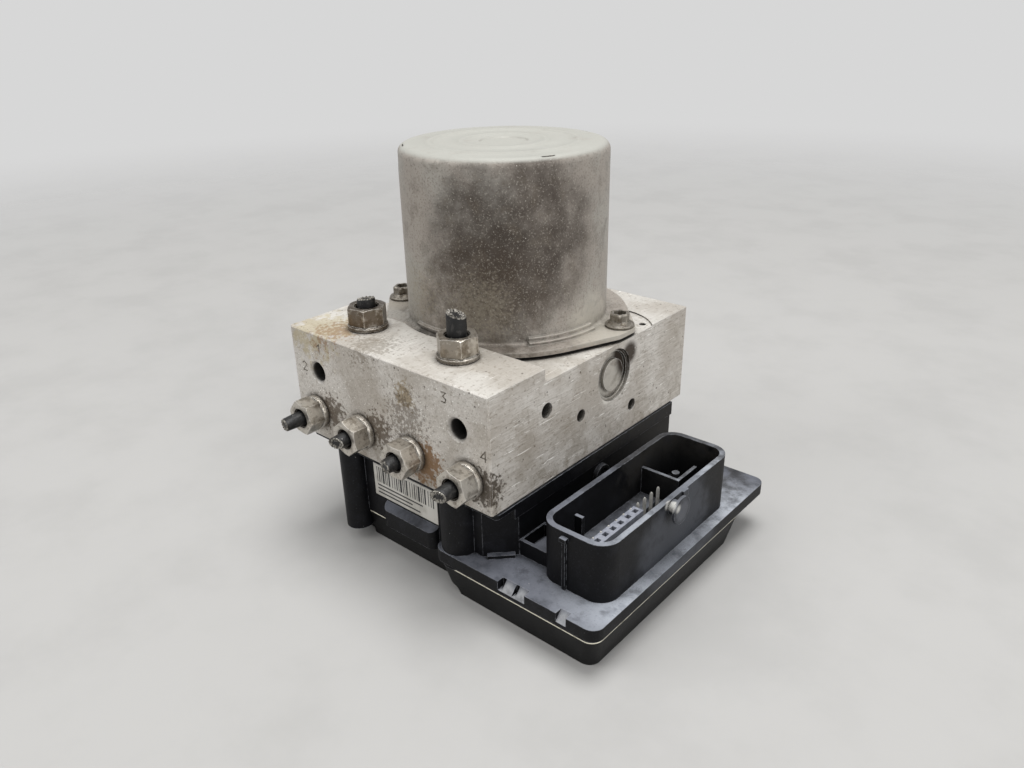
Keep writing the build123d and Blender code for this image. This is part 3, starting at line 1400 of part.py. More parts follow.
def save_hydraulics():
    for side, name in ((-1, "left"), (1, "right")):
        save(pump_piston(side), "pump_piston_" + name)
        save(pump_spring(side), "pump_spring_" + name)
        save(accumulator_piston(side), "accumulator_piston_" + name)
        save(accumulator_spring(side), "accumulator_spring_" + name)
    save([pump_sleeve(side) for side in (-1, 1)], "pump_sleeves")
    save([pump_plug(side) for side in (-1, 1)], "pump_plugs")
    save(accumulator_caps(), "accumulator_caps")
    save(valve_grid(valve_body, (INLET_Y,)), "inlet_valve_bodies")
    save(valve_grid(valve_body, (OUTLET_Y,)), "outlet_valve_bodies")
    for index, x in enumerate(VALVE_X):
        save(valve_plunger(x, INLET_Y, True), "inlet_plunger_" + str(index + 1))
        save(valve_plunger(x, OUTLET_Y, False), "outlet_plunger_" + str(index + 1))
    save(valve_grid(valve_coil, (INLET_Y, OUTLET_Y)), "valve_coils")
    save(valve_grid(coil_yoke, (INLET_Y, OUTLET_Y)), "coil_yokes")


def save_pipes():
    save(wheel_port_nuts(), "wheel_port_nuts")
    save(wheel_pipe_stubs(), "wheel_pipe_stubs")
    save(master_port_nuts(), "master_port_nuts")
    save(master_pipe_stubs(), "master_pipe_stubs")


def save_control_unit():
    save(ecu_housing(), "ecu_housing")
    save(ecu_cover(), "ecu_cover")
    save(cover_seal(), "cover_seal")
    save(block_gasket(), "block_gasket")
    save(unit_screws(), "unit_screws")
    save(circuit_board(), "circuit_board")
    save(board_components(), "board_components")
    save(connector_pins(), "connector_pins")
    save(pin_carrier(), "pin_carrier")
    save(label_plate(), "label_plate")


def main():
    os.makedirs("parts", exist_ok=True)
    save_casing()
    save_motor()
    save_hydraulics()
    save_pipes()
    save_control_unit()


main()
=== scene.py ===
"""Looks, light and camera for an anti-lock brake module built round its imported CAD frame."""

import logging
import math
from dataclasses import dataclass
from enum import Enum
from typing import Callable, Iterable, Sequence

import bmesh
import bpy
from mathutils import Matrix, Vector


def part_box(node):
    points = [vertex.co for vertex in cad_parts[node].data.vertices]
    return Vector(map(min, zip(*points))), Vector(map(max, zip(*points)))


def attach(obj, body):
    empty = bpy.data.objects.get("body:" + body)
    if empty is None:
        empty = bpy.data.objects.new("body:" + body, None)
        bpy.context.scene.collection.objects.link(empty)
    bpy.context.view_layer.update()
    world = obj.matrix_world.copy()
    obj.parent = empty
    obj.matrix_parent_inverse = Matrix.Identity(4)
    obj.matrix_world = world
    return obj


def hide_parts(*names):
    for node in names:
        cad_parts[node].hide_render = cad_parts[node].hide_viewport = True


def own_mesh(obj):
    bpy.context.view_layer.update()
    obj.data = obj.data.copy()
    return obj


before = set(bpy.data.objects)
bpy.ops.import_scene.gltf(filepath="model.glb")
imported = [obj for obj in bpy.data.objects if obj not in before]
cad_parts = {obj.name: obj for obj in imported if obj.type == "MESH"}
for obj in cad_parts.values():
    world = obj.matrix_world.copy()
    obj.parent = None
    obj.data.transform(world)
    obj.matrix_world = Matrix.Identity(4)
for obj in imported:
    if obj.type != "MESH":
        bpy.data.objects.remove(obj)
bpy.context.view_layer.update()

LOG = logging.getLogger("abs_module")
MM = 0.001
Colour = tuple[int, int, int]
Point = tuple[float, float, float]


# ------------------------------------------------------------------ places and numbers
def block_shift() -> Vector:
    """Find where the hydraulic block's own origin sits in the frame.

    Returns:
        The middle of the block's underside, in metres.
    """
    low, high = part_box("hydraulic_block")
    return Vector(((low.x + high.x) / 2, (low.y + high.y) / 2, low.z))


SHIFT = block_shift()


def row(x: float, y: float, z: float) -> Vector:
    """Turn a place in the block's millimetres into the frame's metres."""
    return Vector((x, y, z)) * MM + SHIFT


def linear(colour: Colour) -> tuple[float, float, float, float]:
    """Turn a colour as it looks on a screen into scene-linear light.

    Args:
        colour: Red, green and blue from 0 to 255.

    Returns:
        Linear red, green, blue and full alpha.
    """
    def channel(value: float) -> float:
        """Turn one channel from 0 to 255 into linear light."""
        share = value / 255
        return share / 12.92 if share <= 0.04045 else ((share + 0.055) / 1.055) ** 2.4

    return (*(channel(value) for value in colour), 1.0)


def polar(radius: float, angle: float) -> tuple[float, float]:
    """Offset at a distance and an angle in degrees."""
    turn = math.radians(angle)
    return radius * math.cos(turn), radius * math.sin(turn)


# ------------------------------------------------------------------ shader toolkit
class Effect(Enum):
    """Surface effects that the finishes share, each of them one shader node group."""

    BLOTCH = "blotch"
    SPECKLE = "speckle"
    DUST = "dust"
    EDGE = "edge"
    CREVICE = "crevice"
    # painted shade in deep bores and narrow gaps
    HOLLOW_SHADE = "hollow"
    SPOT = "spot"
    RISE = "rise"
    LEVEL = "level"
    DRIFT = "drift"


@dataclass(frozen=True)
class Layer:
    """One coat over the base colour, laid on where its effect's mask is.

    Lengths are millimetres and places are in the block's frame.
    """

    effect: Effect
    colour: Colour
    amount: float = 1.0
    size: float = 5.0
    low: float = 0.45
    high: float = 0.6
    stretch: Point = (1.0, 1.0, 1.0)
    place: Point = (0.0, 0.0, 0.0)
    reach: float = 1.0
    density: float = 0.5
    roughness: float | None = None
    metallic: float | None = None


@dataclass(frozen=True)
class Relief:
    """Fine height over the surface, in millimetres."""

    effect: Effect
    height: float
    size: float = 1.0
    low: float = 0.2
    high: float = 0.8
    stretch: Point = (1.0, 1.0, 1.0)
    place: Point = (0.0, 0.0, 0.0)
    reach: float = 1.0
    density: float = 0.5


@dataclass(frozen=True)
class Finish:
    """A whole surface finish: base, coats, relief and softened edges."""

    name: str
    base: Colour
    roughness: float = 0.5
    metallic: float = 0.0
    edge_radius: float = 0.0
    specular: float = 0.5
    coat: float = 0.0
    layers: tuple[Layer, ...] = ()
    reliefs: tuple[Relief, ...] = ()


class Graph:
    """Short way to write a node tree."""

    def __init__(self, tree: bpy.types.NodeTree) -> None:
        """Keep the tree that the nodes go into."""
        self.tree = tree

    def node(self, kind: str, **settings: object) -> bpy.types.Node:
        """Add a node and set its properties.

        Args:
            kind: Blender's name of the node type.
            settings: Properties to set on it.

        Returns:
            The new node.
        """
        made = self.tree.nodes.new(kind)
        for name, value in settings.items():
            setattr(made, name, value)
        return made

    def feed(self, socket: bpy.types.NodeSocket, value: object) -> None:
        """Link an output to a socket, or set the socket's own value."""
        if isinstance(value, bpy.types.NodeSocket):
            self.tree.links.new(value, socket)
        else:
            socket.default_value = value

    def maths(self, operation: str, *values: object, clamp: bool = False) -> bpy.types.NodeSocket:
        """Add a Math node on the given values and return its output."""
        made = self.node("ShaderNodeMath", operation=operation, use_clamp=clamp)
        for socket, value in zip(made.inputs, values):
            self.feed(socket, value)
        return made.outputs[0]

    def vector(self, operation: str, *values: object) -> bpy.types.Node:
        """Add a Vector Math node on the given values."""
        made = self.node("ShaderNodeVectorMath", operation=operation)
        for socket, value in zip(made.inputs, values):
            self.feed(socket, value)
        return made

    def window(self, value: object, low: object, high: object) -> bpy.types.NodeSocket:
        """Rise smoothly from 0 at `low` to 1 at `high`."""
        made = self.node("ShaderNodeMapRange", interpolation_type="SMOOTHSTEP")
        self.feed(made.inputs["Value"], value)
        self.feed(made.inputs["From Min"], low)
        self.feed(made.inputs["From Max"], high)
        return made.outputs["Result"]

    def noise(self, vector: object, scale: object, detail: float = 4.0) -> bpy.types.NodeSocket:
        """Add a noise texture and return its value."""
        made = self.node("ShaderNodeTexNoise")
        self.feed(made.inputs["Vector"], vector)
        self.feed(made.inputs["Scale"], scale)
        made.inputs["Detail"].default_value = detail
        made.inputs["Roughness"].default_value = 0.62
        return made.outputs["Fac"]

    def blend(self, mask: object, under: object, over: object) -> bpy.types.NodeSocket:
        """Mix two colours by a mask."""
        made = self.node("ShaderNodeMix", data_type="RGBA")
        self.feed(made.inputs[0], mask)
        self.feed(made.inputs[6], under)
        self.feed(made.inputs[7], over)
        return made.outputs[2]

    def between(self, mask: object, under: object, over: object) -> bpy.types.NodeSocket:
        """Mix two numbers by a mask."""
        made = self.node("ShaderNodeMix", data_type="FLOAT")
        self.feed(made.inputs[0], mask)
        self.feed(made.inputs[2], under)
        self.feed(made.inputs[3], over)
        return made.outputs[0]


class EffectLibrary:
    """Builds each shared effect once, as a shader node group with named inputs."""

    SOCKETS = {
        "Size": "NodeSocketFloat",
        "Low": "NodeSocketFloat",
        "High": "NodeSocketFloat",
        "Stretch": "NodeSocketVector",
        "Place": "NodeSocketVector",
        "Reach": "NodeSocketFloat",
        "Density": "NodeSocketFloat",
    }
    NEEDS = {
        Effect.BLOTCH: ("Size", "Low", "High", "Stretch"),
        Effect.SPECKLE: ("Size", "Low", "High", "Density"),
        Effect.DUST: ("Size", "Low", "High", "Stretch"),
        Effect.EDGE: ("Size", "Low", "High", "Stretch", "Reach"),
        Effect.CREVICE: ("Size", "Low", "High", "Stretch", "Reach"),
        Effect.HOLLOW_SHADE: ("Reach",),
        Effect.SPOT: ("Size", "Low", "High", "Stretch", "Place", "Reach"),
        Effect.RISE: ("Size", "Low", "High", "Stretch", "Reach"),
        Effect.LEVEL: ("Size", "Low", "High", "Stretch", "Reach"),
        Effect.DRIFT: ("Size", "Low", "High", "Stretch", "Place", "Reach"),
    }

    def __init__(self) -> None:
        """Start with no group built."""
        self._groups: dict[Effect, bpy.types.ShaderNodeTree] = {}
        self._writers: dict[Effect, Callable[[Graph, dict], bpy.types.NodeSocket]] = {
            Effect.BLOTCH: self._blotch,
            Effect.SPECKLE: self._speckle,
            Effect.DUST: self._dust,
            Effect.EDGE: self._edge,
            Effect.CREVICE: self._crevice,
            Effect.HOLLOW_SHADE: self._hollow_shade,
            Effect.SPOT: self._spot,
            Effect.RISE: self._rise,
            Effect.LEVEL: self._level,
            Effect.DRIFT: self._drift,
        }

    def group(self, effect: Effect) -> bpy.types.ShaderNodeTree:
        """Give the effect's node group, built the first time it is asked for.

        Args:
            effect: Which effect.

        Returns:
            The node group, with the output Mask.
        """
        if effect not in self._groups:
            tree = bpy.data.node_groups.new("effect_" + effect.value, "ShaderNodeTree")
            for name in self.NEEDS[effect]:
                tree.interface.new_socket(name, in_out="INPUT", socket_type=self.SOCKETS[name])
            tree.interface.new_socket("Mask", in_out="OUTPUT", socket_type="NodeSocketFloat")
            graph = Graph(tree)
            inputs = graph.node("NodeGroupInput").outputs
            mask = self._writers[effect](graph, {name: inputs[name] for name in self.NEEDS[effect]})
            graph.feed(graph.node("NodeGroupOutput").inputs["Mask"], mask)
            self._groups[effect] = tree
        return self._groups[effect]

    def place(self, graph: Graph, spec: Layer | Relief) -> bpy.types.NodeSocket:
        """Put an effect's group into a material with a coat's own values.

        Args:
            graph: The material's graph.
            spec: The coat or relief with its values.

        Returns:
            The mask that the group puts out.
        """
        made = graph.node("ShaderNodeGroup", node_tree=self.group(spec.effect))
        values = {
            "Size": spec.size * MM,
            "Low": spec.low,
            "High": spec.high,
            "Stretch": spec.stretch,
            "Place": tuple(row(*spec.place)),
            "Reach": spec.reach * MM,
            "Density": spec.density,
        }
        for name in self.NEEDS[spec.effect]:
            made.inputs[name].default_value = values[name]
        return made.outputs["Mask"]

    @staticmethod
    def _pattern(graph: Graph, sockets: dict, detail: float = 5.0) -> bpy.types.NodeSocket:
        """Write uneven noise on stretched object coordinates."""
        where = graph.node("ShaderNodeTexCoord").outputs["Object"]
        stretched = graph.vector("MULTIPLY", where, sockets["Stretch"]).outputs[0]
        return graph.noise(stretched, graph.maths("DIVIDE", 1.0, sockets["Size"]), detail)

    def _blotch(self, graph: Graph, sockets: dict) -> bpy.types.NodeSocket:
        """Write soft uneven patches."""
        return graph.window(self._pattern(graph, sockets), sockets["Low"], sockets["High"])

    @staticmethod
    def _speckle(graph: Graph, sockets: dict) -> bpy.types.NodeSocket:
        """Write small separate dots of different sizes."""
        where = graph.node("ShaderNodeTexCoord").outputs["Object"]
        cells = graph.node("ShaderNodeTexVoronoi")
        graph.feed(cells.inputs["Vector"], where)
        graph.feed(cells.inputs["Scale"], graph.maths("DIVIDE", 1.0, sockets["Size"]))
        random = graph.node("ShaderNodeSeparateColor")
        graph.feed(random.inputs[0], cells.outputs["Color"])
        kept = graph.maths("LESS_THAN", random.outputs[0], sockets["Density"])
        edge = graph.maths("MULTIPLY", random.outputs[1], sockets["High"])
        near = graph.window(cells.outputs["Distance"], edge, graph.maths("MULTIPLY", edge, sockets["Low"]))
        return graph.maths("MULTIPLY", near, kept)

    def _dust(self, graph: Graph, sockets: dict) -> bpy.types.NodeSocket:
        """Write uneven dust that settles on faces turned upwards."""
        normal = graph.node("ShaderNodeSeparateXYZ")
        graph.feed(normal.inputs[0], graph.node("ShaderNodeNewGeometry").outputs["Normal"])
        upward = graph.window(normal.outputs[2], 0.15, 0.95)
        pattern = graph.window(self._pattern(graph, sockets), sockets["Low"], sockets["High"])
        return graph.maths("MULTIPLY", upward, pattern)

    def _edge(self, graph: Graph, sockets: dict) -> bpy.types.NodeSocket:
        """Write wear along edges, broken up unevenly."""
        soft = graph.node("ShaderNodeBevel", samples=4)
        graph.feed(soft.inputs["Radius"], sockets["Reach"])
        hard = graph.node("ShaderNodeNewGeometry").outputs["Normal"]
        turn = graph.vector("DOT_PRODUCT", soft.outputs[0], hard).outputs["Value"]
        along = graph.window(graph.maths("SUBTRACT", 1.0, turn), 0.01, 0.12)
        pattern = graph.window(self._pattern(graph, sockets), sockets["Low"], sockets["High"])
        return graph.maths("MULTIPLY", along, pattern)

    def _crevice(self, graph: Graph, sockets: dict) -> bpy.types.NodeSocket:
        """Write a dark coat in inner corners and round what stands on a face, from occlusion: dirt on most
        finishes, painted shade in the pin comb's pockets.
        """
        shade = graph.node("ShaderNodeAmbientOcclusion", samples=4)
        graph.feed(shade.inputs["Distance"], sockets["Reach"])
        deep = graph.window(shade.outputs["AO"], 0.95, 0.55)
        pattern = graph.window(self._pattern(graph, sockets), sockets["Low"], sockets["High"])
        return graph.maths("MULTIPLY", deep, pattern)

    def _hollow_shade(self, graph: Graph, sockets: dict) -> bpy.types.NodeSocket:
        """Write painted shade in deep bores and narrow gaps, from occlusion."""
        shade = graph.node("ShaderNodeAmbientOcclusion", samples=4)
        graph.feed(shade.inputs["Distance"], sockets["Reach"])
        return graph.window(shade.outputs["AO"], 0.48, 0.22)

    def _spot(self, graph: Graph, sockets: dict) -> bpy.types.NodeSocket:
        """Write a ragged patch round one place: stains, and painted highlights and shade."""
        where = graph.node("ShaderNodeTexCoord").outputs["Object"]
        away = graph.vector("DISTANCE", where, sockets["Place"]).outputs["Value"]
        near = graph.window(graph.maths("DIVIDE", away, sockets["Reach"]), 1.0, 0.0)
        pattern = graph.maths("MULTIPLY_ADD", self._pattern(graph, sockets, 8.0), 1.5, -0.75)
        ragged = graph.maths("MULTIPLY_ADD", near, 0.55, pattern)
        inside = graph.window(near, 0.04, 0.4)
        return graph.maths("MULTIPLY", graph.window(ragged, sockets["Low"], sockets["High"]), inside)

    def _rise(self, graph: Graph, sockets: dict) -> bpy.types.NodeSocket:
        """Write a coat that is full at the floor and gone at the reach."""
        place = graph.node("ShaderNodeSeparateXYZ")
        graph.feed(place.inputs[0], graph.node("ShaderNodeTexCoord").outputs["Object"])
        level = graph.maths("DIVIDE", place.outputs[2], sockets["Reach"])
        pattern = graph.window(self._pattern(graph, sockets), sockets["Low"], sockets["High"])
        return graph.maths("MULTIPLY", graph.window(level, 1.0, 0.6), pattern)

    def _level(self, graph: Graph, sockets: dict) -> bpy.types.NodeSocket:
        """Write a coat that lies above the reach."""
        place = graph.node("ShaderNodeSeparateXYZ")
        graph.feed(place.inputs[0], graph.node("ShaderNodeTexCoord").outputs["Object"])
        level = graph.maths("DIVIDE", place.outputs[2], sockets["Reach"])
        pattern = graph.window(self._pattern(graph, sockets), sockets["Low"], sockets["High"])
        return graph.maths("MULTIPLY", graph.window(level, 0.99, 1.0), pattern)

    def _drift(self, graph: Graph, sockets: dict) -> bpy.types.NodeSocket:
        """Write dust that lies on faces turned upwards round one place."""
        where = graph.node("ShaderNodeTexCoord").outputs["Object"]
        away = graph.vector("DISTANCE", where, sockets["Place"]).outputs["Value"]
        near = graph.window(graph.maths("DIVIDE", away, sockets["Reach"]), 1.0, 0.35)
        return graph.maths("MULTIPLY", near, self._dust(graph, sockets))


class Workshop:
    """Turns finishes into materials, each of them once."""

    def __init__(self) -> None:
        """Start with the shared effects and no material."""
        self.effects = EffectLibrary()
        self._made: dict[str, bpy.types.Material] = {}

    def material(self, finish: Finish) -> bpy.types.Material:
        """Give the material of a finish.

        Args:
            finish: The finish to build.

        Returns:
            The material, built the first time it is asked for.
        """
        if finish.name not in self._made:
            self._made[finish.name] = self._build(finish)
        return self._made[finish.name]

    def _build(self, finish: Finish) -> bpy.types.Material:
        """Write the node tree of one finish."""
        material = bpy.data.materials.new(finish.name)
        material.use_nodes = True
        graph = Graph(material.node_tree)
        shader = material.node_tree.nodes["Principled BSDF"]
        colour: object = linear(finish.base)
        roughness: object = finish.roughness
        metallic: object = finish.metallic
        for layer in finish.layers:
            mask = graph.maths("MULTIPLY", self.effects.place(graph, layer), layer.amount, clamp=True)
            colour = graph.blend(mask, colour, linear(layer.colour))
            if layer.roughness is not None:
                roughness = graph.between(mask, roughness, layer.roughness)
            if layer.metallic is not None:
                metallic = graph.between(mask, metallic, layer.metallic)
        graph.feed(shader.inputs["Base Color"], colour)
        graph.feed(shader.inputs["Roughness"], roughness)
        graph.feed(shader.inputs["Metallic"], metallic)
        shader.inputs["Specular IOR Level"].default_value = finish.specular
        shader.inputs["Coat Weight"].default_value = finish.coat
        shader.inputs["Coat Roughness"].default_value = 0.25
        self._relief(graph, shader, finish)
        return material

    def _relief(self, graph: Graph, shader: bpy.types.Node, finish: Finish) -> None:
        """Feed the shader's normal from softened edges and the relief."""
        normal: object = None
        if finish.edge_radius > 0:
            soft = graph.node("ShaderNodeBevel", samples=4)
            soft.inputs["Radius"].default_value = finish.edge_radius * MM
            normal = soft.outputs[0]
        for relief in finish.reliefs:
            bump = graph.node("ShaderNodeBump")
            bump.inputs["Distance"].default_value = relief.height * MM
            graph.feed(bump.inputs["Height"], self.effects.place(graph, relief))
            if normal is not None:
                graph.feed(bump.inputs["Normal"], normal)
            normal = bump.outputs[0]
        if normal is not None:
            graph.feed(shader.inputs["Normal"], normal)


SHOP = Workshop()


# ------------------------------------------------------------------ finishes
GRIME: Colour = (58, 52, 43)
# Painted shade: near-black colour laid into the mounting holes.
HOLE_SHADE: Colour = (20, 17, 14)
RAMP_DUST: Colour = (176, 177, 179)
MOUNT_HOLES_X = (-33.7, 33.7)
RAMPS_X = (53.5, 58.8, 74.6)

BLOCK_FINISH = Finish(
    "milled_aluminium",
    base=(208, 203, 196),
    roughness=0.5,
    metallic=0.3,
    edge_radius=0.35,
    layers=(
        Layer(Effect.BLOTCH, (168, 160, 149), 0.5, size=13, low=0.46, high=0.66),
        Layer(Effect.BLOTCH, (226, 222, 216), 0.55, size=0.7, low=0.48, high=0.62, stretch=(1, 0.08, 1)),
        Layer(Effect.BLOTCH, (118, 107, 92), 0.6, size=0.7, low=0.53, high=0.63, stretch=(1, 0.05, 1)),
        Layer(Effect.BLOTCH, (255, 253, 248), 0.95, size=0.7, low=0.61, high=0.64, stretch=(1, 0.05, 1),
              metallic=0.0),
        Layer(Effect.DUST, (214, 211, 204), 0.6, size=11, low=0.28, high=0.5),
        Layer(Effect.BLOTCH, (128, 116, 98), 0.5, size=1.4, low=0.55, high=0.66),
        Layer(Effect.BLOTCH, (146, 134, 118), 0.4, size=24, low=0.4, high=0.6),
        Layer(Effect.RISE, (120, 108, 88), 0.45, size=5, low=0.44, high=0.62, reach=60),
        Layer(Effect.SPOT, (184, 170, 130), 0.5, size=3, low=0.2, high=0.42, place=(-35, -48, 40), reach=24),
        Layer(Effect.SPOT, (140, 104, 66), 0.6, size=1.3, low=0.36, high=0.5, place=(-29, -48, 40), reach=22),
        Layer(Effect.SPOT, (108, 96, 78), 0.45, size=1.2, low=0.34, high=0.5, place=(-9, -49, 40), reach=20),
        Layer(Effect.SPOT, (132, 112, 72), 0.7, size=1.6, low=0.26, high=0.46, place=(11, -55, 30), reach=10),
        Layer(Effect.SPOT, (88, 74, 56), 0.6, size=1.0, low=0.4, high=0.54, place=(11, -55, 22), reach=27),
        Layer(Effect.SPOT, (124, 86, 38), 0.85, size=1.6, low=0.2, high=0.42, place=(19, -55, 8), reach=15),
        Layer(Effect.SPOT, (60, 48, 34), 0.85, size=1.4, low=0.22, high=0.4, place=(43, -55, 9), reach=13),
        Layer(Effect.SPOT, (78, 62, 42), 0.8, size=1.3, low=0.28, high=0.45, place=(-28, -55, 12), reach=15),
        Layer(Effect.SPOT, (78, 62, 42), 0.8, size=1.3, low=0.28, high=0.45, place=(-4, -55, 13), reach=14),
        # painted shade mixed with brown dirt: a dark crescent on the far wall of the pump plug's recess
        Layer(Effect.SPOT, (48, 35, 22), 0.95, size=1.2, low=-0.3, high=0.1, place=(43.5, 17.0, 30.0),
              reach=7.5, roughness=0.9, metallic=0.0),
        # painted highlight on the lower lip of the pump plug's recess
        Layer(Effect.SPOT, (236, 232, 224), 0.8, size=1.5, low=0.0, high=0.3, place=(46.8, 4.5, 18.2), reach=4.5),
        Layer(Effect.SPECKLE, (60, 50, 38), 0.8, size=1.9, low=0.4, high=0.26, density=0.3, roughness=0.8),
        Layer(Effect.SPECKLE, (250, 248, 244), 0.8, size=2.6, low=0.3, high=0.12, density=0.22),
        Layer(Effect.CREVICE, (64, 54, 40), 0.75, size=1.6, low=0.3, high=0.52, reach=2.2, roughness=0.8),
        Layer(Effect.EDGE, (240, 238, 234), 0.55, size=2, low=0.4, high=0.55, reach=0.35, roughness=0.35),
        # painted shade in the block's bores and narrow gaps
        Layer(Effect.HOLLOW_SHADE, (22, 18, 14), 0.97, reach=7, roughness=0.8, metallic=0.0),
        # painted shade filling the two front mounting holes and round their mouths
        *(Layer(Effect.SPOT, HOLE_SHADE, 0.97, low=-1.2, high=-1.0, place=(x, -50, 25.5), reach=8, metallic=0.0)
          for x in MOUNT_HOLES_X),
    ),
    reliefs=(
        Relief(Effect.BLOTCH, 0.05, size=0.7, stretch=(1, 0.1, 1)),
        Relief(Effect.BLOTCH, 0.05, size=1.4, low=0.5, high=0.75),
    ),
)
CAN_FINISH = Finish(
    "drawn_can_steel",
    base=(168, 160, 151),
    roughness=0.52,
    metallic=0.35,
    edge_radius=0.3,
    layers=(
        Layer(Effect.BLOTCH, (176, 174, 167), 0.6, size=24, low=0.46, high=0.62),
        # painted dark reflection mixed with dirt down the middle of the can that faces the camera
        Layer(Effect.SPOT, (56, 46, 38), 0.95, size=16, low=-0.3, high=0.62, place=(27, -19, 73), reach=44),
        Layer(Effect.SPOT, (74, 63, 52), 0.75, size=5, low=-0.1, high=0.6, place=(16, -26, 50), reach=36),
        Layer(Effect.BLOTCH, (104, 94, 82), 0.4, size=6, low=0.5, high=0.68),
        Layer(Effect.BLOTCH, (70, 60, 50), 0.4, size=0.7, low=0.5, high=0.66),
        Layer(Effect.BLOTCH, (182, 176, 165), 0.5, size=0.6, low=0.54, high=0.68),
        Layer(Effect.SPOT, (150, 142, 126), 0.6, size=1.0, low=0.2, high=0.7, place=(16, -25, 50), reach=26),
        Layer(Effect.SPOT, (160, 150, 130), 0.5, size=1.0, low=0.2, high=0.7, place=(-12, -25, 52), reach=24),
        Layer(Effect.SPECKLE, (226, 222, 212), 0.9, size=1.7, low=0.3, high=0.13, density=0.3, roughness=0.7),
        # painted sheen, lighter towards the can's right and left sides near the foot
        Layer(Effect.SPOT, (196, 190, 178), 0.75, size=3, low=-0.1, high=0.3, place=(44, 12, 38), reach=24),
        Layer(Effect.SPOT, (176, 170, 158), 0.6, size=3, low=-0.1, high=0.3, place=(-40, -6, 38), reach=20),
        Layer(Effect.LEVEL, (172, 172, 165), 0.9, size=9, low=0.1, high=0.45, reach=136.3, roughness=0.62,
              metallic=0.1),
        Layer(Effect.CREVICE, GRIME, 0.6, size=3, low=0.3, high=0.6, reach=4, roughness=0.8),
        Layer(Effect.EDGE, (190, 186, 177), 0.5, size=3, low=0.35, high=0.55, reach=0.6),
    ),
    reliefs=(
        Relief(Effect.BLOTCH, 0.04, size=0.7),
        Relief(Effect.BLOTCH, 0.05, size=1.2),
    ),
)
STAMP_FINISH = Finish(
    "stamped_mark",
    base=(86, 78, 66),
    roughness=0.7,
    layers=(Layer(Effect.BLOTCH, (170, 164, 154), 0.8, size=1.2, low=0.5, high=0.62),),
)
# Painted shade: dark strips laid into the short creases of the motor's rim.
CREASE_SHADE_FINISH = Finish(
    "rim_crease_shade",
    base=(44, 39, 34),
    roughness=0.7,
    layers=(Layer(Effect.BLOTCH, (110, 104, 95), 0.7, size=1.0, low=0.5, high=0.62),),
)
NUT_FINISH = Finish(
    "zinc_nut",
    base=(200, 194, 184),
    roughness=0.3,
    metallic=0.85,
    edge_radius=0.25,
    layers=(
        Layer(Effect.BLOTCH, (118, 108, 94), 0.6, size=3.5, low=0.5, high=0.62),
        Layer(Effect.BLOTCH, (214, 209, 200), 0.5, size=1.2, low=0.55, high=0.68),
        Layer(Effect.BLOTCH, (70, 58, 44), 0.6, size=0.9, low=0.58, high=0.68),
        Layer(Effect.SPOT, (82, 68, 52), 0.85, size=3, low=-0.05, high=0.35, place=(-23.5, -39, 46), reach=15),
        Layer(Effect.SPOT, (104, 92, 76), 0.6, size=2, low=0.0, high=0.4, place=(19.6, -44, 44), reach=12),
        Layer(Effect.CREVICE, (50, 42, 32), 0.9, size=1.2, low=0.25, high=0.45, reach=2.6, roughness=0.8),
        Layer(Effect.EDGE, (230, 227, 220), 0.85, size=2, low=0.34, high=0.5, reach=0.35, roughness=0.35),
    ),
    reliefs=(Relief(Effect.BLOTCH, 0.06, size=0.8),),
)
SCREW_FINISH = Finish(
    "screw_steel",
    base=(136, 130, 120),
    roughness=0.42,
    metallic=0.65,
    edge_radius=0.15,
    layers=(
        Layer(Effect.BLOTCH, (84, 74, 62), 0.7, size=1.6, low=0.48, high=0.6),
        Layer(Effect.CREVICE, GRIME, 0.8, size=1.5, low=0.25, high=0.5, reach=1.5, roughness=0.8),
        Layer(Effect.EDGE, (216, 212, 204), 0.8, size=2, low=0.3, high=0.5, reach=0.3),
        # painted shade in the recesses of the screw heads
        Layer(Effect.HOLLOW_SHADE, (24, 21, 17), 0.9, reach=1.6, roughness=0.8),
    ),
    reliefs=(Relief(Effect.BLOTCH, 0.03, size=0.6),),
)
PIPE_COATED = Finish(
    "coated_pipe",
    base=(15, 15, 16),
    roughness=0.45,
    layers=(
        Layer(Effect.BLOTCH, (58, 56, 54), 0.7, size=1.0, low=0.54, high=0.66, stretch=(1, 0.4, 0.4)),
        Layer(Effect.SPECKLE, (210, 208, 202), 0.85, size=0.8, low=0.4, high=0.3, density=0.16),
    ),
    reliefs=(Relief(Effect.BLOTCH, 0.08, size=0.7),),
)
PIPE_CUT = Finish(
    "sheared_pipe",
    base=(150, 146, 138),
    roughness=0.34,
    metallic=0.5,
    layers=(
        Layer(Effect.BLOTCH, (44, 39, 34), 0.9, size=0.6, low=0.46, high=0.56, stretch=(1, 1, 0.5)),
        Layer(Effect.SPECKLE, (246, 244, 240), 0.95, size=0.5, low=0.3, high=0.36, density=0.45),
    ),
    reliefs=(Relief(Effect.BLOTCH, 0.12, size=0.5),),
)
PLUG_FINISH = Finish(
    "plug_steel",
    base=(186, 181, 172),
    roughness=0.42,
    metallic=0.45,
    edge_radius=0.2,
    layers=(
        Layer(Effect.BLOTCH, (128, 120, 108), 0.6, size=4, low=0.45, high=0.65),
        # painted shade mixed with dirt on the far half of the plug's ring, in line with the recess's shaded wall
        Layer(Effect.SPOT, (40, 29, 18), 1.0, size=1.2, low=-0.45, high=-0.1, place=(44.5, 20, 30), reach=15,
              roughness=0.9, metallic=0.0),
        Layer(Effect.CREVICE, GRIME, 0.6, size=1.5, low=0.3, high=0.55, reach=1.2, roughness=0.8),
        Layer(Effect.EDGE, (240, 238, 232), 0.8, size=2, low=0.3, high=0.5, reach=0.35),
        # painted shade in the plug's groove and recess
        Layer(Effect.HOLLOW_SHADE, (30, 24, 18), 0.9, reach=3, roughness=0.8),
    ),
    reliefs=(Relief(Effect.BLOTCH, 0.03, size=0.7),),
)
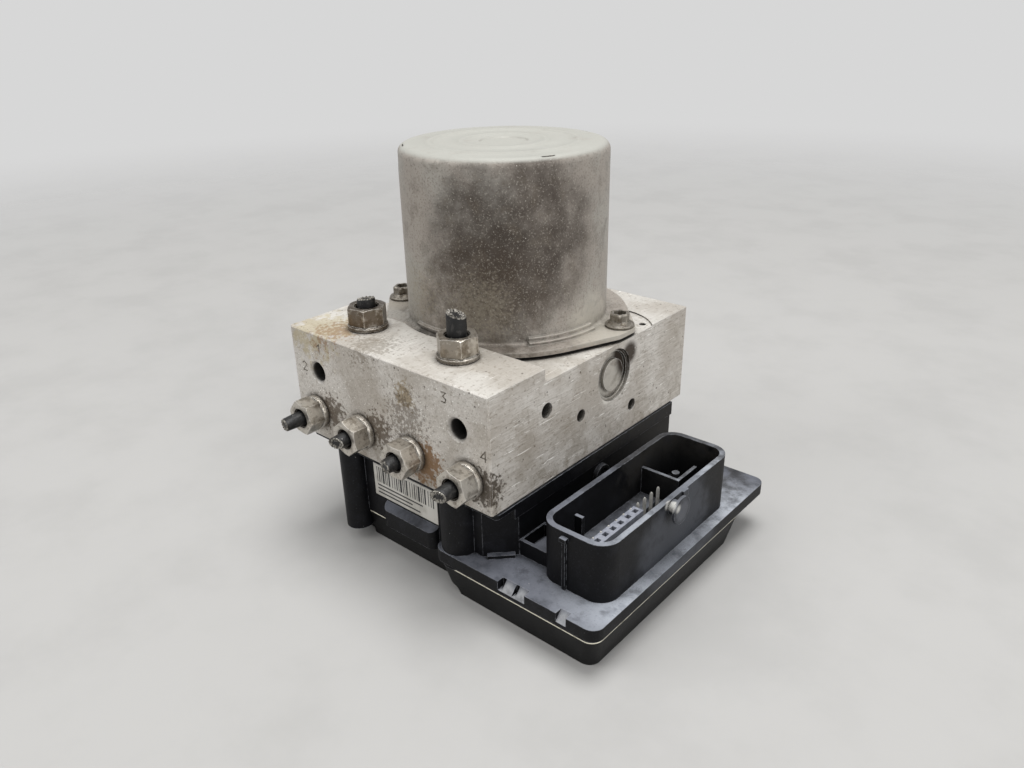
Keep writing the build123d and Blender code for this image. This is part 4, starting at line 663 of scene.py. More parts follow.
BALL_FINISH = Finish(
    "drilling_ball",
    base=(70, 58, 44),
    roughness=0.45,
    metallic=0.3,
    layers=(
        Layer(Effect.BLOTCH, (24, 19, 14), 0.8, size=1.2, low=0.4, high=0.56),
        Layer(Effect.SPECKLE, (180, 172, 158), 0.7, size=0.8, low=0.3, high=0.3, density=0.2),
    ),
    reliefs=(Relief(Effect.BLOTCH, 0.04, size=0.6),),
)
HOUSING_FINISH = Finish(
    "moulded_housing",
    base=(8, 8, 11),
    roughness=0.5,
    specular=0.2,
    edge_radius=0.35,
    layers=(
        Layer(Effect.DUST, (112, 115, 124), 0.85, size=26, low=0.24, high=0.56, roughness=0.75),
        Layer(Effect.DRIFT, (172, 177, 185), 0.9, size=20, low=-0.1, high=0.4, place=(87, -30, -21), reach=36,
              roughness=0.75),
        Layer(Effect.DRIFT, (184, 189, 197), 0.9, size=20, low=-0.1, high=0.4, place=(88, 14, -21), reach=36,
              roughness=0.75),
        *(Layer(Effect.DRIFT, RAMP_DUST, 0.9, size=4, low=0.1, high=0.35, place=(x, -56.4, -24), reach=4.2,
                roughness=0.8) for x in RAMPS_X),
        Layer(Effect.DUST, (80, 83, 91), 0.3, size=5, low=0.46, high=0.68, roughness=0.75),
        Layer(Effect.SPOT, (88, 91, 98), 0.5, size=14, low=-0.1, high=0.4, place=(84, -6, -15), reach=34,
              roughness=0.6),
        Layer(Effect.SPOT, (96, 98, 104), 0.6, size=3, low=-0.4, high=0.2, place=(88.5, -11, -3.4), reach=6,
              roughness=0.6),
        # painted highlight on the lit top of the boss's shaft
        Layer(Effect.SPOT, (214, 213, 208), 0.95, size=2, low=-0.6, high=-0.1, place=(84.6, -13.6, -1.6),
              reach=3.2, roughness=0.6),
        Layer(Effect.SPOT, (52, 50, 47), 0.7, size=6, low=-0.1, high=0.4, place=(46, 34, -6), reach=62,
              roughness=0.8),
        Layer(Effect.BLOTCH, (30, 31, 36), 0.5, size=6, low=0.48, high=0.7),
        Layer(Effect.BLOTCH, (56, 58, 64), 0.4, size=0.6, low=0.58, high=0.7),
        Layer(Effect.SPECKLE, (206, 206, 203), 0.8, size=2.2, low=0.3, high=0.08, density=0.25, roughness=0.8),
        Layer(Effect.SPECKLE, (132, 133, 136), 0.6, size=0.9, low=0.3, high=0.14, density=0.22, roughness=0.8),
        # painted shade inside the wiring socket and the housing's deep gaps
        Layer(Effect.HOLLOW_SHADE, (8, 9, 12), 0.92, reach=22, roughness=0.6),
        Layer(Effect.EDGE, (158, 161, 168), 0.6, size=2, low=0.38, high=0.56, reach=0.35),
    ),
    reliefs=(Relief(Effect.BLOTCH, 0.03, size=0.5),),
)
COVER_FINISH = Finish(
    "moulded_cover",
    base=(8, 8, 9),
    roughness=0.48,
    specular=0.2,
    edge_radius=0.5,
    layers=(
        Layer(Effect.BLOTCH, (28, 28, 28), 0.4, size=12, low=0.42, high=0.66),
        Layer(Effect.SPECKLE, (184, 182, 176), 0.7, size=2.6, low=0.3, high=0.08, density=0.25, roughness=0.8),
        Layer(Effect.EDGE, (84, 85, 88), 0.35, size=4, low=0.35, high=0.6, reach=0.35),
    ),
    reliefs=(Relief(Effect.BLOTCH, 0.03, size=0.6),),
)
SEAL_FINISH = Finish(
    "cream_seal",
    base=(236, 231, 212),
    roughness=0.6,
    layers=(Layer(Effect.BLOTCH, (136, 128, 108), 0.6, size=2.4, low=0.54, high=0.66),),
    reliefs=(Relief(Effect.BLOTCH, 0.03, size=0.8),),
)
GASKET_FINISH = Finish(
    "black_rubber",
    base=(30, 30, 31),
    roughness=0.62,
    layers=(Layer(Effect.BLOTCH, (84, 82, 80), 0.5, size=3, low=0.5, high=0.66),),
    reliefs=(Relief(Effect.BLOTCH, 0.03, size=0.6),),
)
LABEL_FINISH = Finish(
    "printed_label",
    base=(206, 203, 196),
    roughness=0.42,
    layers=(
        Layer(Effect.BLOTCH, (150, 146, 136), 0.5, size=9, low=0.45, high=0.68),
        Layer(Effect.SPECKLE, GRIME, 0.6, size=2, low=0.4, high=0.2, density=0.25),
    ),
    reliefs=(Relief(Effect.BLOTCH, 0.01, size=1.5),),
)
INK_FINISH = Finish(
    "label_ink",
    base=(38, 37, 38),
    roughness=0.5,
    layers=(Layer(Effect.BLOTCH, (120, 117, 110), 0.4, size=1.5, low=0.55, high=0.7),),
)
PIN_FINISH = Finish(
    "tinned_pin",
    base=(226, 224, 218),
    roughness=0.35,
    metallic=0.25,
    layers=(Layer(Effect.BLOTCH, (176, 172, 164), 0.5, size=1.5, low=0.45, high=0.65),),
    reliefs=(Relief(Effect.BLOTCH, 0.01, size=0.4),),
)
CARRIER_FINISH = Finish(
    "pin_carrier_plastic",
    base=(9, 10, 13),
    roughness=0.6,
    specular=0.2,
    edge_radius=0.2,
    layers=(
        Layer(Effect.BLOTCH, (30, 32, 40), 0.5, size=3, low=0.44, high=0.64),
        Layer(Effect.SPECKLE, (206, 204, 198), 0.8, size=1.6, low=0.3, high=0.2, density=0.35),
    ),
)
COMB_FINISH = Finish(
    "pin_comb_plastic",
    base=(150, 154, 165),
    roughness=0.55,
    edge_radius=0.12,
    layers=(
        Layer(Effect.BLOTCH, (118, 122, 134), 0.7, size=2.2, low=0.46, high=0.64),
        # painted shade in the comb's pockets and inner corners
        Layer(Effect.CREVICE, (40, 42, 50), 0.7, size=1.5, low=0.25, high=0.5, reach=1.2),
    ),
    reliefs=(Relief(Effect.BLOTCH, 0.02, size=0.6),),
)


def plain_finish(name: str, base: Colour, shade: Colour, roughness: float, metallic: float) -> Finish:
    """Make the finish of an inner piece: two tones of one material with fine grain.

    Args:
        name: Name of the finish.
        base: Main colour.
        shade: Colour of the uneven patches.
        roughness: How matt it is.
        metallic: How metallic it is.

    Returns:
        The finish.
    """
    return Finish(
        name,
        base=base,
        roughness=roughness,
        metallic=metallic,
        edge_radius=0.15,
        layers=(
            Layer(Effect.BLOTCH, shade, 0.6, size=6, low=0.42, high=0.64),
            Layer(Effect.BLOTCH, shade, 0.3, size=1.2, low=0.5, high=0.7),
        ),
        reliefs=(Relief(Effect.BLOTCH, 0.02, size=0.7),),
    )


STEEL_INNER = plain_finish("ground_steel", (168, 168, 170), (128, 127, 127), 0.3, 0.9)
BRONZE = plain_finish("sintered_bronze", (150, 112, 66), (112, 82, 48), 0.5, 0.8)
FERRITE = plain_finish("ferrite", (54, 54, 58), (36, 36, 40), 0.6, 0.0)
COPPER = plain_finish("enamelled_copper", (168, 86, 44), (120, 58, 30), 0.35, 0.85)
BRUSH_PLASTIC = plain_finish("brush_plate_plastic", (60, 56, 52), (42, 40, 38), 0.55, 0.0)
CARBON = plain_finish("carbon_brush", (46, 46, 48), (30, 30, 32), 0.5, 0.2)
SPRING_STEEL = plain_finish("spring_steel", (150, 150, 150), (104, 102, 98), 0.35, 0.9)
PISTON_ALLOY = plain_finish("accumulator_alloy", (176, 174, 170), (140, 136, 130), 0.4, 0.8)
BOARD_GREEN = plain_finish("board_green", (30, 84, 52), (22, 62, 40), 0.4, 0.0)
COMPONENT_BLACK = plain_finish("component_black", (36, 36, 38), (58, 58, 60), 0.5, 0.0)

NODE_GROUPS: tuple[tuple[Finish, str], ...] = (
    (BLOCK_FINISH, "hydraulic_block"),
    (PLUG_FINISH, "drilling_balls pump_plugs accumulator_caps"),
    (CAN_FINISH, "motor_can"),
    (SCREW_FINISH, "motor_screws unit_screws"),
    (GASKET_FINISH, "motor_seal block_gasket"),
    (STEEL_INNER,
     "motor_end_plate motor_bearing motor_shaft eccentric_bearing armature_core "
     "pump_piston_left pump_piston_right pump_sleeves inlet_valve_bodies "
     "outlet_valve_bodies coil_yokes"),
    (BRONZE, "motor_top_bush"),
    (FERRITE, "motor_magnets"),
    (COPPER, "armature_winding commutator valve_coils"),
    (PIN_FINISH, "motor_contacts"),
    (BRUSH_PLASTIC, "brush_plate contact_carrier"),
    (CARBON, "brushes"),
    (SPRING_STEEL, "pump_spring_left pump_spring_right accumulator_spring_left accumulator_spring_right"),
    (PISTON_ALLOY, "accumulator_piston_left accumulator_piston_right"),
    (NUT_FINISH, "wheel_port_nuts master_port_nuts"),
    (PIPE_CUT, "wheel_pipe_stubs"),
    (PIPE_COATED, "master_pipe_stubs"),
    (HOUSING_FINISH, "ecu_housing"),
    (COVER_FINISH, "ecu_cover"),
    (SEAL_FINISH, "cover_seal"),
    (BOARD_GREEN, "circuit_board"),
    (COMPONENT_BLACK, "board_components"),
    (PIN_FINISH, "connector_pins"),
    (CARRIER_FINISH, "pin_carrier"),
    (LABEL_FINISH, "label_plate"),
)
NODE_FINISHES: dict[str, Finish] = {node: finish for finish, nodes in NODE_GROUPS for node in nodes.split()}
PLUNGER_FINISH = STEEL_INNER


# ------------------------------------------------------------------ mesh toolkit
class Sketch:
    """Draws one mesh in the block's millimetres."""

    def __init__(self) -> None:
        """Start an empty mesh."""
        self.mesh = bmesh.new()

    def ring(self, points: Iterable[Point]) -> list[bmesh.types.BMVert]:
        """Add the corners of one ring."""
        return [self.mesh.verts.new(point) for point in points]

    def bridge(self, lower: Sequence[bmesh.types.BMVert], upper: Sequence[bmesh.types.BMVert],
               closed: bool = True) -> None:
        """Join two rings of equal length with faces."""
        count = len(lower) if closed else len(lower) - 1
        for index in range(count):
            after = (index + 1) % len(lower)
            self.mesh.faces.new((lower[index], lower[after], upper[after], upper[index]))

    def cap(self, ring: Sequence[bmesh.types.BMVert]) -> None:
        """Close a ring with one face."""
        self.mesh.faces.new(ring)

    def stack(self, rings: Sequence[Sequence[Point]], capped: bool = True) -> None:
        """Join rings one after another and close both ends."""
        made = [self.ring(points) for points in rings]
        for lower, upper in zip(made, made[1:]):
            self.bridge(lower, upper)
        if capped:
            self.cap(list(reversed(made[0])))
            self.cap(made[-1])

    def lathe(self, profile: Sequence[tuple[float, float]], centre: tuple[float, float],
              steps: int = 96, shape: Callable[[float, float, float], float] | None = None) -> None:
        """Turn a profile of (radius, height) about an upright axis.

        Args:
            profile: Corners of the profile, from one end of the axis to the other.
            centre: Place of the axis.
            steps: Number of steps round the axis.
            shape: Optional change of the radius at (radius, height, angle in degrees).
        """
        rings = []
        for radius, height in profile:
            ring = []
            for step in range(steps):
                angle = 360 * step / steps
                reach = radius if shape is None else shape(radius, height, angle)
                dx, dy = polar(reach, angle)
                ring.append((centre[0] + dx, centre[1] + dy, height))
            rings.append(ring)
        self.stack(rings)

    def prism(self, outline: Sequence[tuple[float, float]], low: float, high: float) -> None:
        """Raise an outline between two heights."""
        self.stack([[(x, y, low) for x, y in outline], [(x, y, high) for x, y in outline]])

    def arc_bar(self, centre: tuple[float, float], section: Sequence[tuple[float, float]],
                start: float, end: float, steps: int = 24) -> None:
        """Sweep a (radius, height) section round part of a circle."""
        rings = []
        for step in range(steps + 1):
            angle = start + (end - start) * step / steps
            ring = []
            for radius, height in section:
                dx, dy = polar(radius, angle)
                ring.append((centre[0] + dx, centre[1] + dy, height))
            rings.append(ring)
        self.stack(rings)

    def object(self, name: str, soften: float = 0.0, smooth: float = 40.0) -> bpy.types.Object:
        """Finish the mesh as an object in the frame.

        Args:
            name: The piece's name.
            soften: Width of the bevel on its edges in millimetres.
            smooth: Angle in degrees up to which edges are shaded smooth.

        Returns:
            The new object, at the origin with its place in its mesh.
        """
        bmesh.ops.recalc_face_normals(self.mesh, faces=self.mesh.faces)
        data = bpy.data.meshes.new(name)
        self.mesh.to_mesh(data)
        self.mesh.free()
        data.transform(Matrix.Translation(SHIFT) @ Matrix.Scale(MM, 4))
        made = bpy.data.objects.new(name, data)
        bpy.context.scene.collection.objects.link(made)
        if soften > 0:
            bevel = made.modifiers.new("soften", "BEVEL")
            bevel.width = soften * MM
            bevel.segments = 2
            bevel.limit_method = "ANGLE"
            bevel.angle_limit = math.radians(smooth)
            settle(made)
        made.data.shade_smooth()
        made.data.set_sharp_from_angle(angle=math.radians(smooth))
        return made


def settle(made: bpy.types.Object) -> None:
    """Turn an object's modifiers into its own plain mesh."""
    graph = bpy.context.evaluated_depsgraph_get()
    data = bpy.data.meshes.new_from_object(made.evaluated_get(graph))
    made.modifiers.clear()
    made.data = data


def dress(made: bpy.types.Object, finish: Finish, body: str = "module",
          stands_for: Sequence[str] = ()) -> bpy.types.Object:
    """Give a new piece its material, its body and the nodes it stands for."""
    made.data.materials.clear()
    made.data.materials.append(SHOP.material(finish))
    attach(made, body)
    if stands_for:
        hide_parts(*stands_for)
    LOG.info("%s: %d faces, %s", made.name, len(made.data.polygons), finish.name)
    return made


# ------------------------------------------------------------------ geometry node trees
class CopyTree:
    """Geometry node tree that puts copies of one piece at marked places."""

    def __init__(self) -> None:
        """Build the tree with its named inputs."""
        self.tree = bpy.data.node_groups.new("copies_at_places", "GeometryNodeTree")
        face = self.tree.interface
        face.new_socket("Places", in_out="INPUT", socket_type="NodeSocketGeometry")
        face.new_socket("Piece", in_out="INPUT", socket_type="NodeSocketObject")
        face.new_socket("Size", in_out="INPUT", socket_type="NodeSocketFloat")
        face.new_socket("Finish", in_out="INPUT", socket_type="NodeSocketMaterial")
        face.new_socket("Copies", in_out="OUTPUT", socket_type="NodeSocketGeometry")
        nodes, link = self.tree.nodes, self.tree.links.new
        inputs = nodes.new("NodeGroupInput").outputs
        piece = nodes.new("GeometryNodeObjectInfo")
        turn = nodes.new("GeometryNodeInputNamedAttribute")
        turn.data_type = "FLOAT_VECTOR"
        turn.inputs["Name"].default_value = "turn"
        copies = nodes.new("GeometryNodeInstanceOnPoints")
        real = nodes.new("GeometryNodeRealizeInstances")
        finish = nodes.new("GeometryNodeSetMaterial")
        link(inputs["Piece"], piece.inputs["Object"])
        link(inputs["Places"], copies.inputs["Points"])
        link(piece.outputs["Geometry"], copies.inputs["Instance"])
        link(turn.outputs["Attribute"], copies.inputs["Rotation"])
        link(inputs["Size"], copies.inputs["Scale"])
        link(copies.outputs[0], real.inputs[0])
        link(real.outputs[0], finish.inputs["Geometry"])
        link(inputs["Finish"], finish.inputs["Material"])
        link(finish.outputs[0], nodes.new("NodeGroupOutput").inputs["Copies"])

    def grow(self, name: str, piece: bpy.types.Object, places: Sequence[tuple[Point, Point]],
             finish: Finish) -> bpy.types.Object:
        """Put copies of a piece at places and turn them into one plain mesh.

        Args:
            name: Name of the new piece.
            piece: The piece to copy, drawn about the block frame's origin.
            places: For each copy its place in millimetres and its turn in degrees.
            finish: Finish that the tree's Set Material gives.

        Returns:
            The new object.
        """
        data = bpy.data.meshes.new(name)
        data.from_pydata([row(*place) for place, _ in places], [], [])
        turn = data.attributes.new("turn", "FLOAT_VECTOR", "POINT")
        for index, (_, angles) in enumerate(places):
            turn.data[index].vector = [math.radians(angle) for angle in angles]
        made = bpy.data.objects.new(name, data)
        bpy.context.scene.collection.objects.link(made)
        grower = made.modifiers.new("copies", "NODES")
        grower.node_group = self.tree
        values = {"Piece": piece, "Size": 1.0, "Finish": SHOP.material(finish)}
        for item in self.tree.interface.items_tree:
            if item.in_out == "INPUT" and item.name in values:
                grower[item.identifier] = values[item.name]
        settle(made)
        bpy.data.objects.remove(piece)
        made.data.shade_smooth()
        made.data.set_sharp_from_angle(angle=math.radians(35))
        return made


class GridTree:
    """Geometry node tree that repeats its own mesh over a grid of pins."""

    def __init__(self) -> None:
        """Build the tree with its named inputs."""
        self.tree = bpy.data.node_groups.new("pin_grid", "GeometryNodeTree")
        face = self.tree.interface
        face.new_socket("Pin", in_out="INPUT", socket_type="NodeSocketGeometry")
        for name in ("Rows", "Pins"):
            face.new_socket(name, in_out="INPUT", socket_type="NodeSocketInt")
        for name in ("Row Pitch", "Pin Pitch"):
            face.new_socket(name, in_out="INPUT", socket_type="NodeSocketFloat")
        face.new_socket("Middle", in_out="INPUT", socket_type="NodeSocketVector")
        face.new_socket("Finish", in_out="INPUT", socket_type="NodeSocketMaterial")
        face.new_socket("Grid", in_out="OUTPUT", socket_type="NodeSocketGeometry")
        nodes, link = self.tree.nodes, self.tree.links.new
        inputs = nodes.new("NodeGroupInput").outputs
        grid = nodes.new("GeometryNodeMeshGrid")
        for count, pitch, size, corners in (
            ("Rows", "Row Pitch", "Size X", "Vertices X"),
            ("Pins", "Pin Pitch", "Size Y", "Vertices Y"),
        ):
            less = nodes.new("ShaderNodeMath")
            less.operation = "SUBTRACT"
            less.inputs[1].default_value = 1
            span = nodes.new("ShaderNodeMath")
            span.operation = "MULTIPLY"
            link(inputs[count], less.inputs[0])
            link(less.outputs[0], span.inputs[0])
            link(inputs[pitch], span.inputs[1])
            link(span.outputs[0], grid.inputs[size])
            link(inputs[count], grid.inputs[corners])
        move = nodes.new("GeometryNodeTransform")
        copies = nodes.new("GeometryNodeInstanceOnPoints")
        real = nodes.new("GeometryNodeRealizeInstances")
        finish = nodes.new("GeometryNodeSetMaterial")
        link(grid.outputs["Mesh"], move.inputs["Geometry"])
        link(inputs["Middle"], move.inputs["Translation"])
        link(move.outputs[0], copies.inputs["Points"])
        link(inputs["Pin"], copies.inputs["Instance"])
        link(copies.outputs[0], real.inputs[0])
        link(real.outputs[0], finish.inputs["Geometry"])
        link(inputs["Finish"], finish.inputs["Material"])
        link(finish.outputs[0], nodes.new("NodeGroupOutput").inputs["Grid"])

    def grow(self, pin: bpy.types.Object, rows: int, pins: int, row_pitch: float,
             pin_pitch: float, middle: Vector, finish: Finish) -> bpy.types.Object:
        """Repeat the pin over the grid and make it one plain mesh."""
        grower = pin.modifiers.new("grid", "NODES")
        grower.node_group = self.tree
        values = {
            "Rows": rows,
            "Pins": pins,
            "Row Pitch": row_pitch * MM,
            "Pin Pitch": pin_pitch * MM,
            "Middle": middle,
            "Finish": SHOP.material(finish),
        }
        for item in self.tree.interface.items_tree:
            if item.in_out == "INPUT" and item.name in values:
                grower[item.identifier] = values[item.name]
        settle(pin)
        return pin


# ------------------------------------------------------------------ sub-assemblies
def about_origin(made: bpy.types.Object) -> bpy.types.Object:
    """Move a piece drawn about the block frame's origin to the world's, for copying."""
    made.data.transform(Matrix.Translation(-SHIFT))
    return made


@dataclass
class MotorCan:
    """Deep-drawn motor can with its rim, embossed rings, stepped foot and flange."""

    centre: tuple[float, float] = (-1.1, 8.2)
    radius: float = 36.0
    wall: float = 2.0
    bottom: float = 36.8
    flange: float = 1.6
    top: float = 98.4
    edge: float = 3.0
    ring_radii: tuple[float, ...] = (14.5, 25.5)
    ring_height: float = 0.35
    hub_radius: float = 8.5
    hub_depth: float = 0.5
    crease_angles: tuple[float, ...] = (-25.0, -131.0, 72.0, 144.0)
    crease_width: float = 7.5
    crease_depth: float = 0.3
    rib_radius: float = 38.4
    rib_height: float = 2.5
    rib_arcs: tuple[tuple[float, float], ...] = ((-38.0, 2.0), (142.0, 182.0))
    louvre: tuple[float, float] = (254.0, 275.0)

    def profile(self) -> list[tuple[float, float]]:
        """Work out the outside of the can from the flange to the middle of the top.

        Returns:
            Corners as (radius, height).
        """
        foot = self.bottom + self.flange
        points = [(self.radius - self.wall, self.bottom), (self.radius + 1.0, self.bottom)]
        points += [(self.radius + 1.0 - 1.0 * math.sin(math.radians(a)), foot + 1.0 - math.cos(math.radians(a)))
                   for a in (0, 30, 60, 90)]
        points += [(self.radius, foot + share * (self.top - self.edge - foot)) for share in (0.3, 0.6, 0.9)]
        for step in range(9):
            dx, dz = polar(self.edge, step * 90 / 8)
            points.append((self.radius - self.edge + dx, self.top - self.edge + dz))
        for ring in sorted(self.ring_radii, reverse=True):
            points += [(ring + 1.5, self.top), (ring + 0.9, self.top + self.ring_height),
                       (ring - 0.9, self.top + self.ring_height), (ring - 1.5, self.top)]
        points += [(self.hub_radius, self.top), (self.hub_radius - 0.6, self.top - self.hub_depth),
                   (0.6, self.top - self.hub_depth)]
        return points

    def shaped(self, radius: float, height: float, angle: float) -> float:
        """Press the short creases into the rim.

        Args:
            radius: Radius of the plain profile.
            height: Height of the place.
            angle: Angle round the axis in degrees.

        Returns:
            The radius with the crease.
        """
        if radius < self.radius - self.edge or height < self.top - 2 * self.edge:
            return radius
        dent = 0.0
        for crease in self.crease_angles:
            away = abs((angle - crease + 180) % 360 - 180) / self.crease_width
            dent = max(dent, math.exp(-((away * 1.6) ** 4)))
        return radius - self.crease_depth * dent

    def flange_outline(self) -> list[tuple[float, float]]:
        """Work out the flange's outline from the CAD flange's own lowest layer.

        Returns:
            Corners of the convex outline in millimetres.
        """
        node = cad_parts["motor_can"]
        level = self.bottom + self.flange / 2
        points = []
        for vertex in node.data.vertices:
            place = (vertex.co - SHIFT) / MM
            if place.z < level and math.dist(place[:2], self.centre) > self.radius + 0.5:
                points.append((round(place.x, 3), round(place.y, 3)))
        return hull(points)

    def build(self) -> None:
        """Build and dress the can."""
        sketch = Sketch()
        sketch.lathe(self.profile(), self.centre, steps=288, shape=self.shaped)
        sketch.prism(self.flange_outline(), self.bottom, self.bottom + self.flange)
        foot = self.bottom + self.flange
        for start, end in self.rib_arcs:
            step, height = self.rib_radius - 1.3, foot + self.rib_height
            section = [(self.radius - 1, foot - 0.5), (self.rib_radius, foot - 0.5), (self.rib_radius, foot + 0.9),
                       (self.rib_radius - 0.3, foot + 1.2), (step, foot + 1.2), (step, height - 0.3),
                       (step - 0.3, height), (self.radius - 1, height)]
            sketch.arc_bar(self.centre, section, start, end)
        lip = foot + 1.5
        section = [(self.radius - 1, lip), (self.radius + 1.1, lip + 0.2), (self.radius + 1.1, lip + 1.1),
                   (self.radius - 1, lip + 1.9)]
        sketch.arc_bar(self.centre, section, *self.louvre, steps=14)
        can = sketch.object("motor_can_skin", smooth=38)
        dress(can, CAN_FINISH, stands_for=["motor_can"])
        # Dark strips of painted shade lying in the rim's creases.
        sketch = Sketch()
        section = [(self.radius - 2.3, self.top - 0.6), (self.radius - 1.85, self.top - 0.8),
                   (self.radius - 1.75, self.top - 0.38), (self.radius - 2.2, self.top - 0.16)]
        for crease in self.crease_angles:
            sketch.arc_bar(self.centre, section, crease - self.crease_width, crease + self.crease_width, steps=12)
        dress(sketch.object("motor_rim_creases", smooth=30), CREASE_SHADE_FINISH)


def hull(points: Sequence[tuple[float, float]]) -> list[tuple[float, float]]:
    """Find the convex outline of points.

    Args:
        points: Places in a plane.

    Returns:
        The outline's corners, turning left.
    """
    def half(ordered: Iterable[tuple[float, float]]) -> list[tuple[float, float]]:
        """Walk along one half of the outline, and drop the corners that turn right."""
        side: list[tuple[float, float]] = []
        for point in ordered:
            while len(side) > 1:
                (ax, ay), (bx, by) = side[-2], side[-1]
                if (bx - ax) * (point[1] - ay) - (by - ay) * (point[0] - ax) > 1e-9:
                    break
                side.pop()
            side.append(point)
        return side[:-1]

    ordered = sorted(set(points))
    return half(ordered) + half(reversed(ordered))


@dataclass
class MotorScrews:
    """Flanged screws with an outer star that hold the motor down."""

    centre: tuple[float, float] = (-1.1, 8.2)
    places: tuple[tuple[float, float], ...] = ((43.7, 13.5), (42.4, 201.7))
    seat: float = 38.4
    washer: float = 5.1
    head: float = 3.3
    lobe: float = 0.32
    height: float = 3.7

    def build(self) -> None:
        """Build and dress the two screws."""
        sketch = Sketch()
        for distance, angle in self.places:
            dx, dy = polar(distance, angle)
            self.screw(sketch, (self.centre[0] + dx, self.centre[1] + dy))
        screws = sketch.object("motor_screw_skins", smooth=35)
        dress(screws, SCREW_FINISH, stands_for=["motor_screws"])

    def screw(self, sketch: Sketch, centre: tuple[float, float]) -> None:
        """Draw one screw from its washer to the recess in its head.

        Args:
            sketch: The mesh to draw in.
            centre: Place of its axis.
        """
        neck = self.seat + 1.1
        top = neck + self.height
        profile = [(0.5, self.seat), (self.washer, self.seat), (self.washer, self.seat + 0.8),
                   (self.washer - 0.3, neck), (self.head + 0.9, neck + 0.1), (self.head + 0.2, neck + 0.9),
                   (self.head, neck + 1.1), (self.head, top - 0.4), (self.head - 0.4, top),
                   (self.head - 1.1, top), (self.head - 1.3, top - 1.9), (0.3, top - 2.1)]

        def star(radius: float, height: float, angle: float) -> float:
            """Press six flutes into the head and its recess."""
            if height < neck + 1.0:
                return radius
            return radius + self.lobe * math.cos(math.radians(6 * angle)) * min(1.0, radius / self.head)

        sketch.lathe(profile, centre, steps=72, shape=star)


@dataclass
class DrillingBalls:
    """Steel balls pressed into the ends of the cross drillings."""

    face: float = 46.8
    recess: float = 2.3
    places: tuple[tuple[float, float, float], ...] = ((-28.4, 25.6, 2.6), (-10.5, 16.7, 2.2), (19.7, 9.2, 2.2))

    def build(self) -> None:
        """Build and dress the balls."""
        sketch = Sketch()
        for y, z, radius in self.places:
            ball = radius - 0.03
            centre = row(self.face - self.recess - radius, y, z)
            place = Matrix.Translation((centre - SHIFT) / MM)
            bmesh.ops.create_uvsphere(sketch.mesh, u_segments=32, v_segments=20, radius=ball, matrix=place)
        dress(sketch.object("drilling_ball_skins", smooth=60), BALL_FINISH,
              stands_for=["drilling_balls"])


@dataclass
class PortNumbers:
    """Plain numbers stamped beside the ports."""

    face: float = -54.95
    size: float = 3.4
    stroke: float = 0.32
    places: tuple[tuple[float, float], ...] = ((-33.0, 33.0), (-42.0, 24.5), (27.5, 33.0), (43.0, 18.5))
    strokes: tuple[tuple[tuple[float, float], ...], ...] = (
        ((0.2, 0.75), (0.5, 1.0), (0.5, 0.0)),
        ((0.05, 0.8), (0.3, 1.0), (0.6, 0.8), (0.55, 0.55), (0.05, 0.0), (0.65, 0.0)),
        ((0.05, 1.0), (0.6, 1.0), (0.25, 0.6), (0.6, 0.4), (0.5, 0.05), (0.05, 0.05)),
        ((0.55, 0.0), (0.55, 1.0), (0.0, 0.3), (0.7, 0.3)),
    )

    def build(self) -> None:
        """Build and dress the stamped strokes."""
        sketch = Sketch()
        for (x, z), points in zip(self.places, self.strokes):
            placed = [(x + px * self.size, z + pz * self.size) for px, pz in points]
            for start, end in zip(placed, placed[1:]):
                self.bar(sketch, Vector(start), Vector(end))
        dress(sketch.object("port_numbers", smooth=30), STAMP_FINISH)

    def bar(self, sketch: Sketch, start: Vector, end: Vector) -> None:
        """Draw one stroke as a thin bar in the block's front face."""
        along = (end - start).normalized() * self.stroke / 2
        side = Vector((-along.y, along.x))
        corners = [start - along - side, end + along - side, end + along + side, start - along + side]
        sketch.stack([[(c.x, self.face + 0.3, c.y) for c in corners], [(c.x, self.face, c.y) for c in corners]])


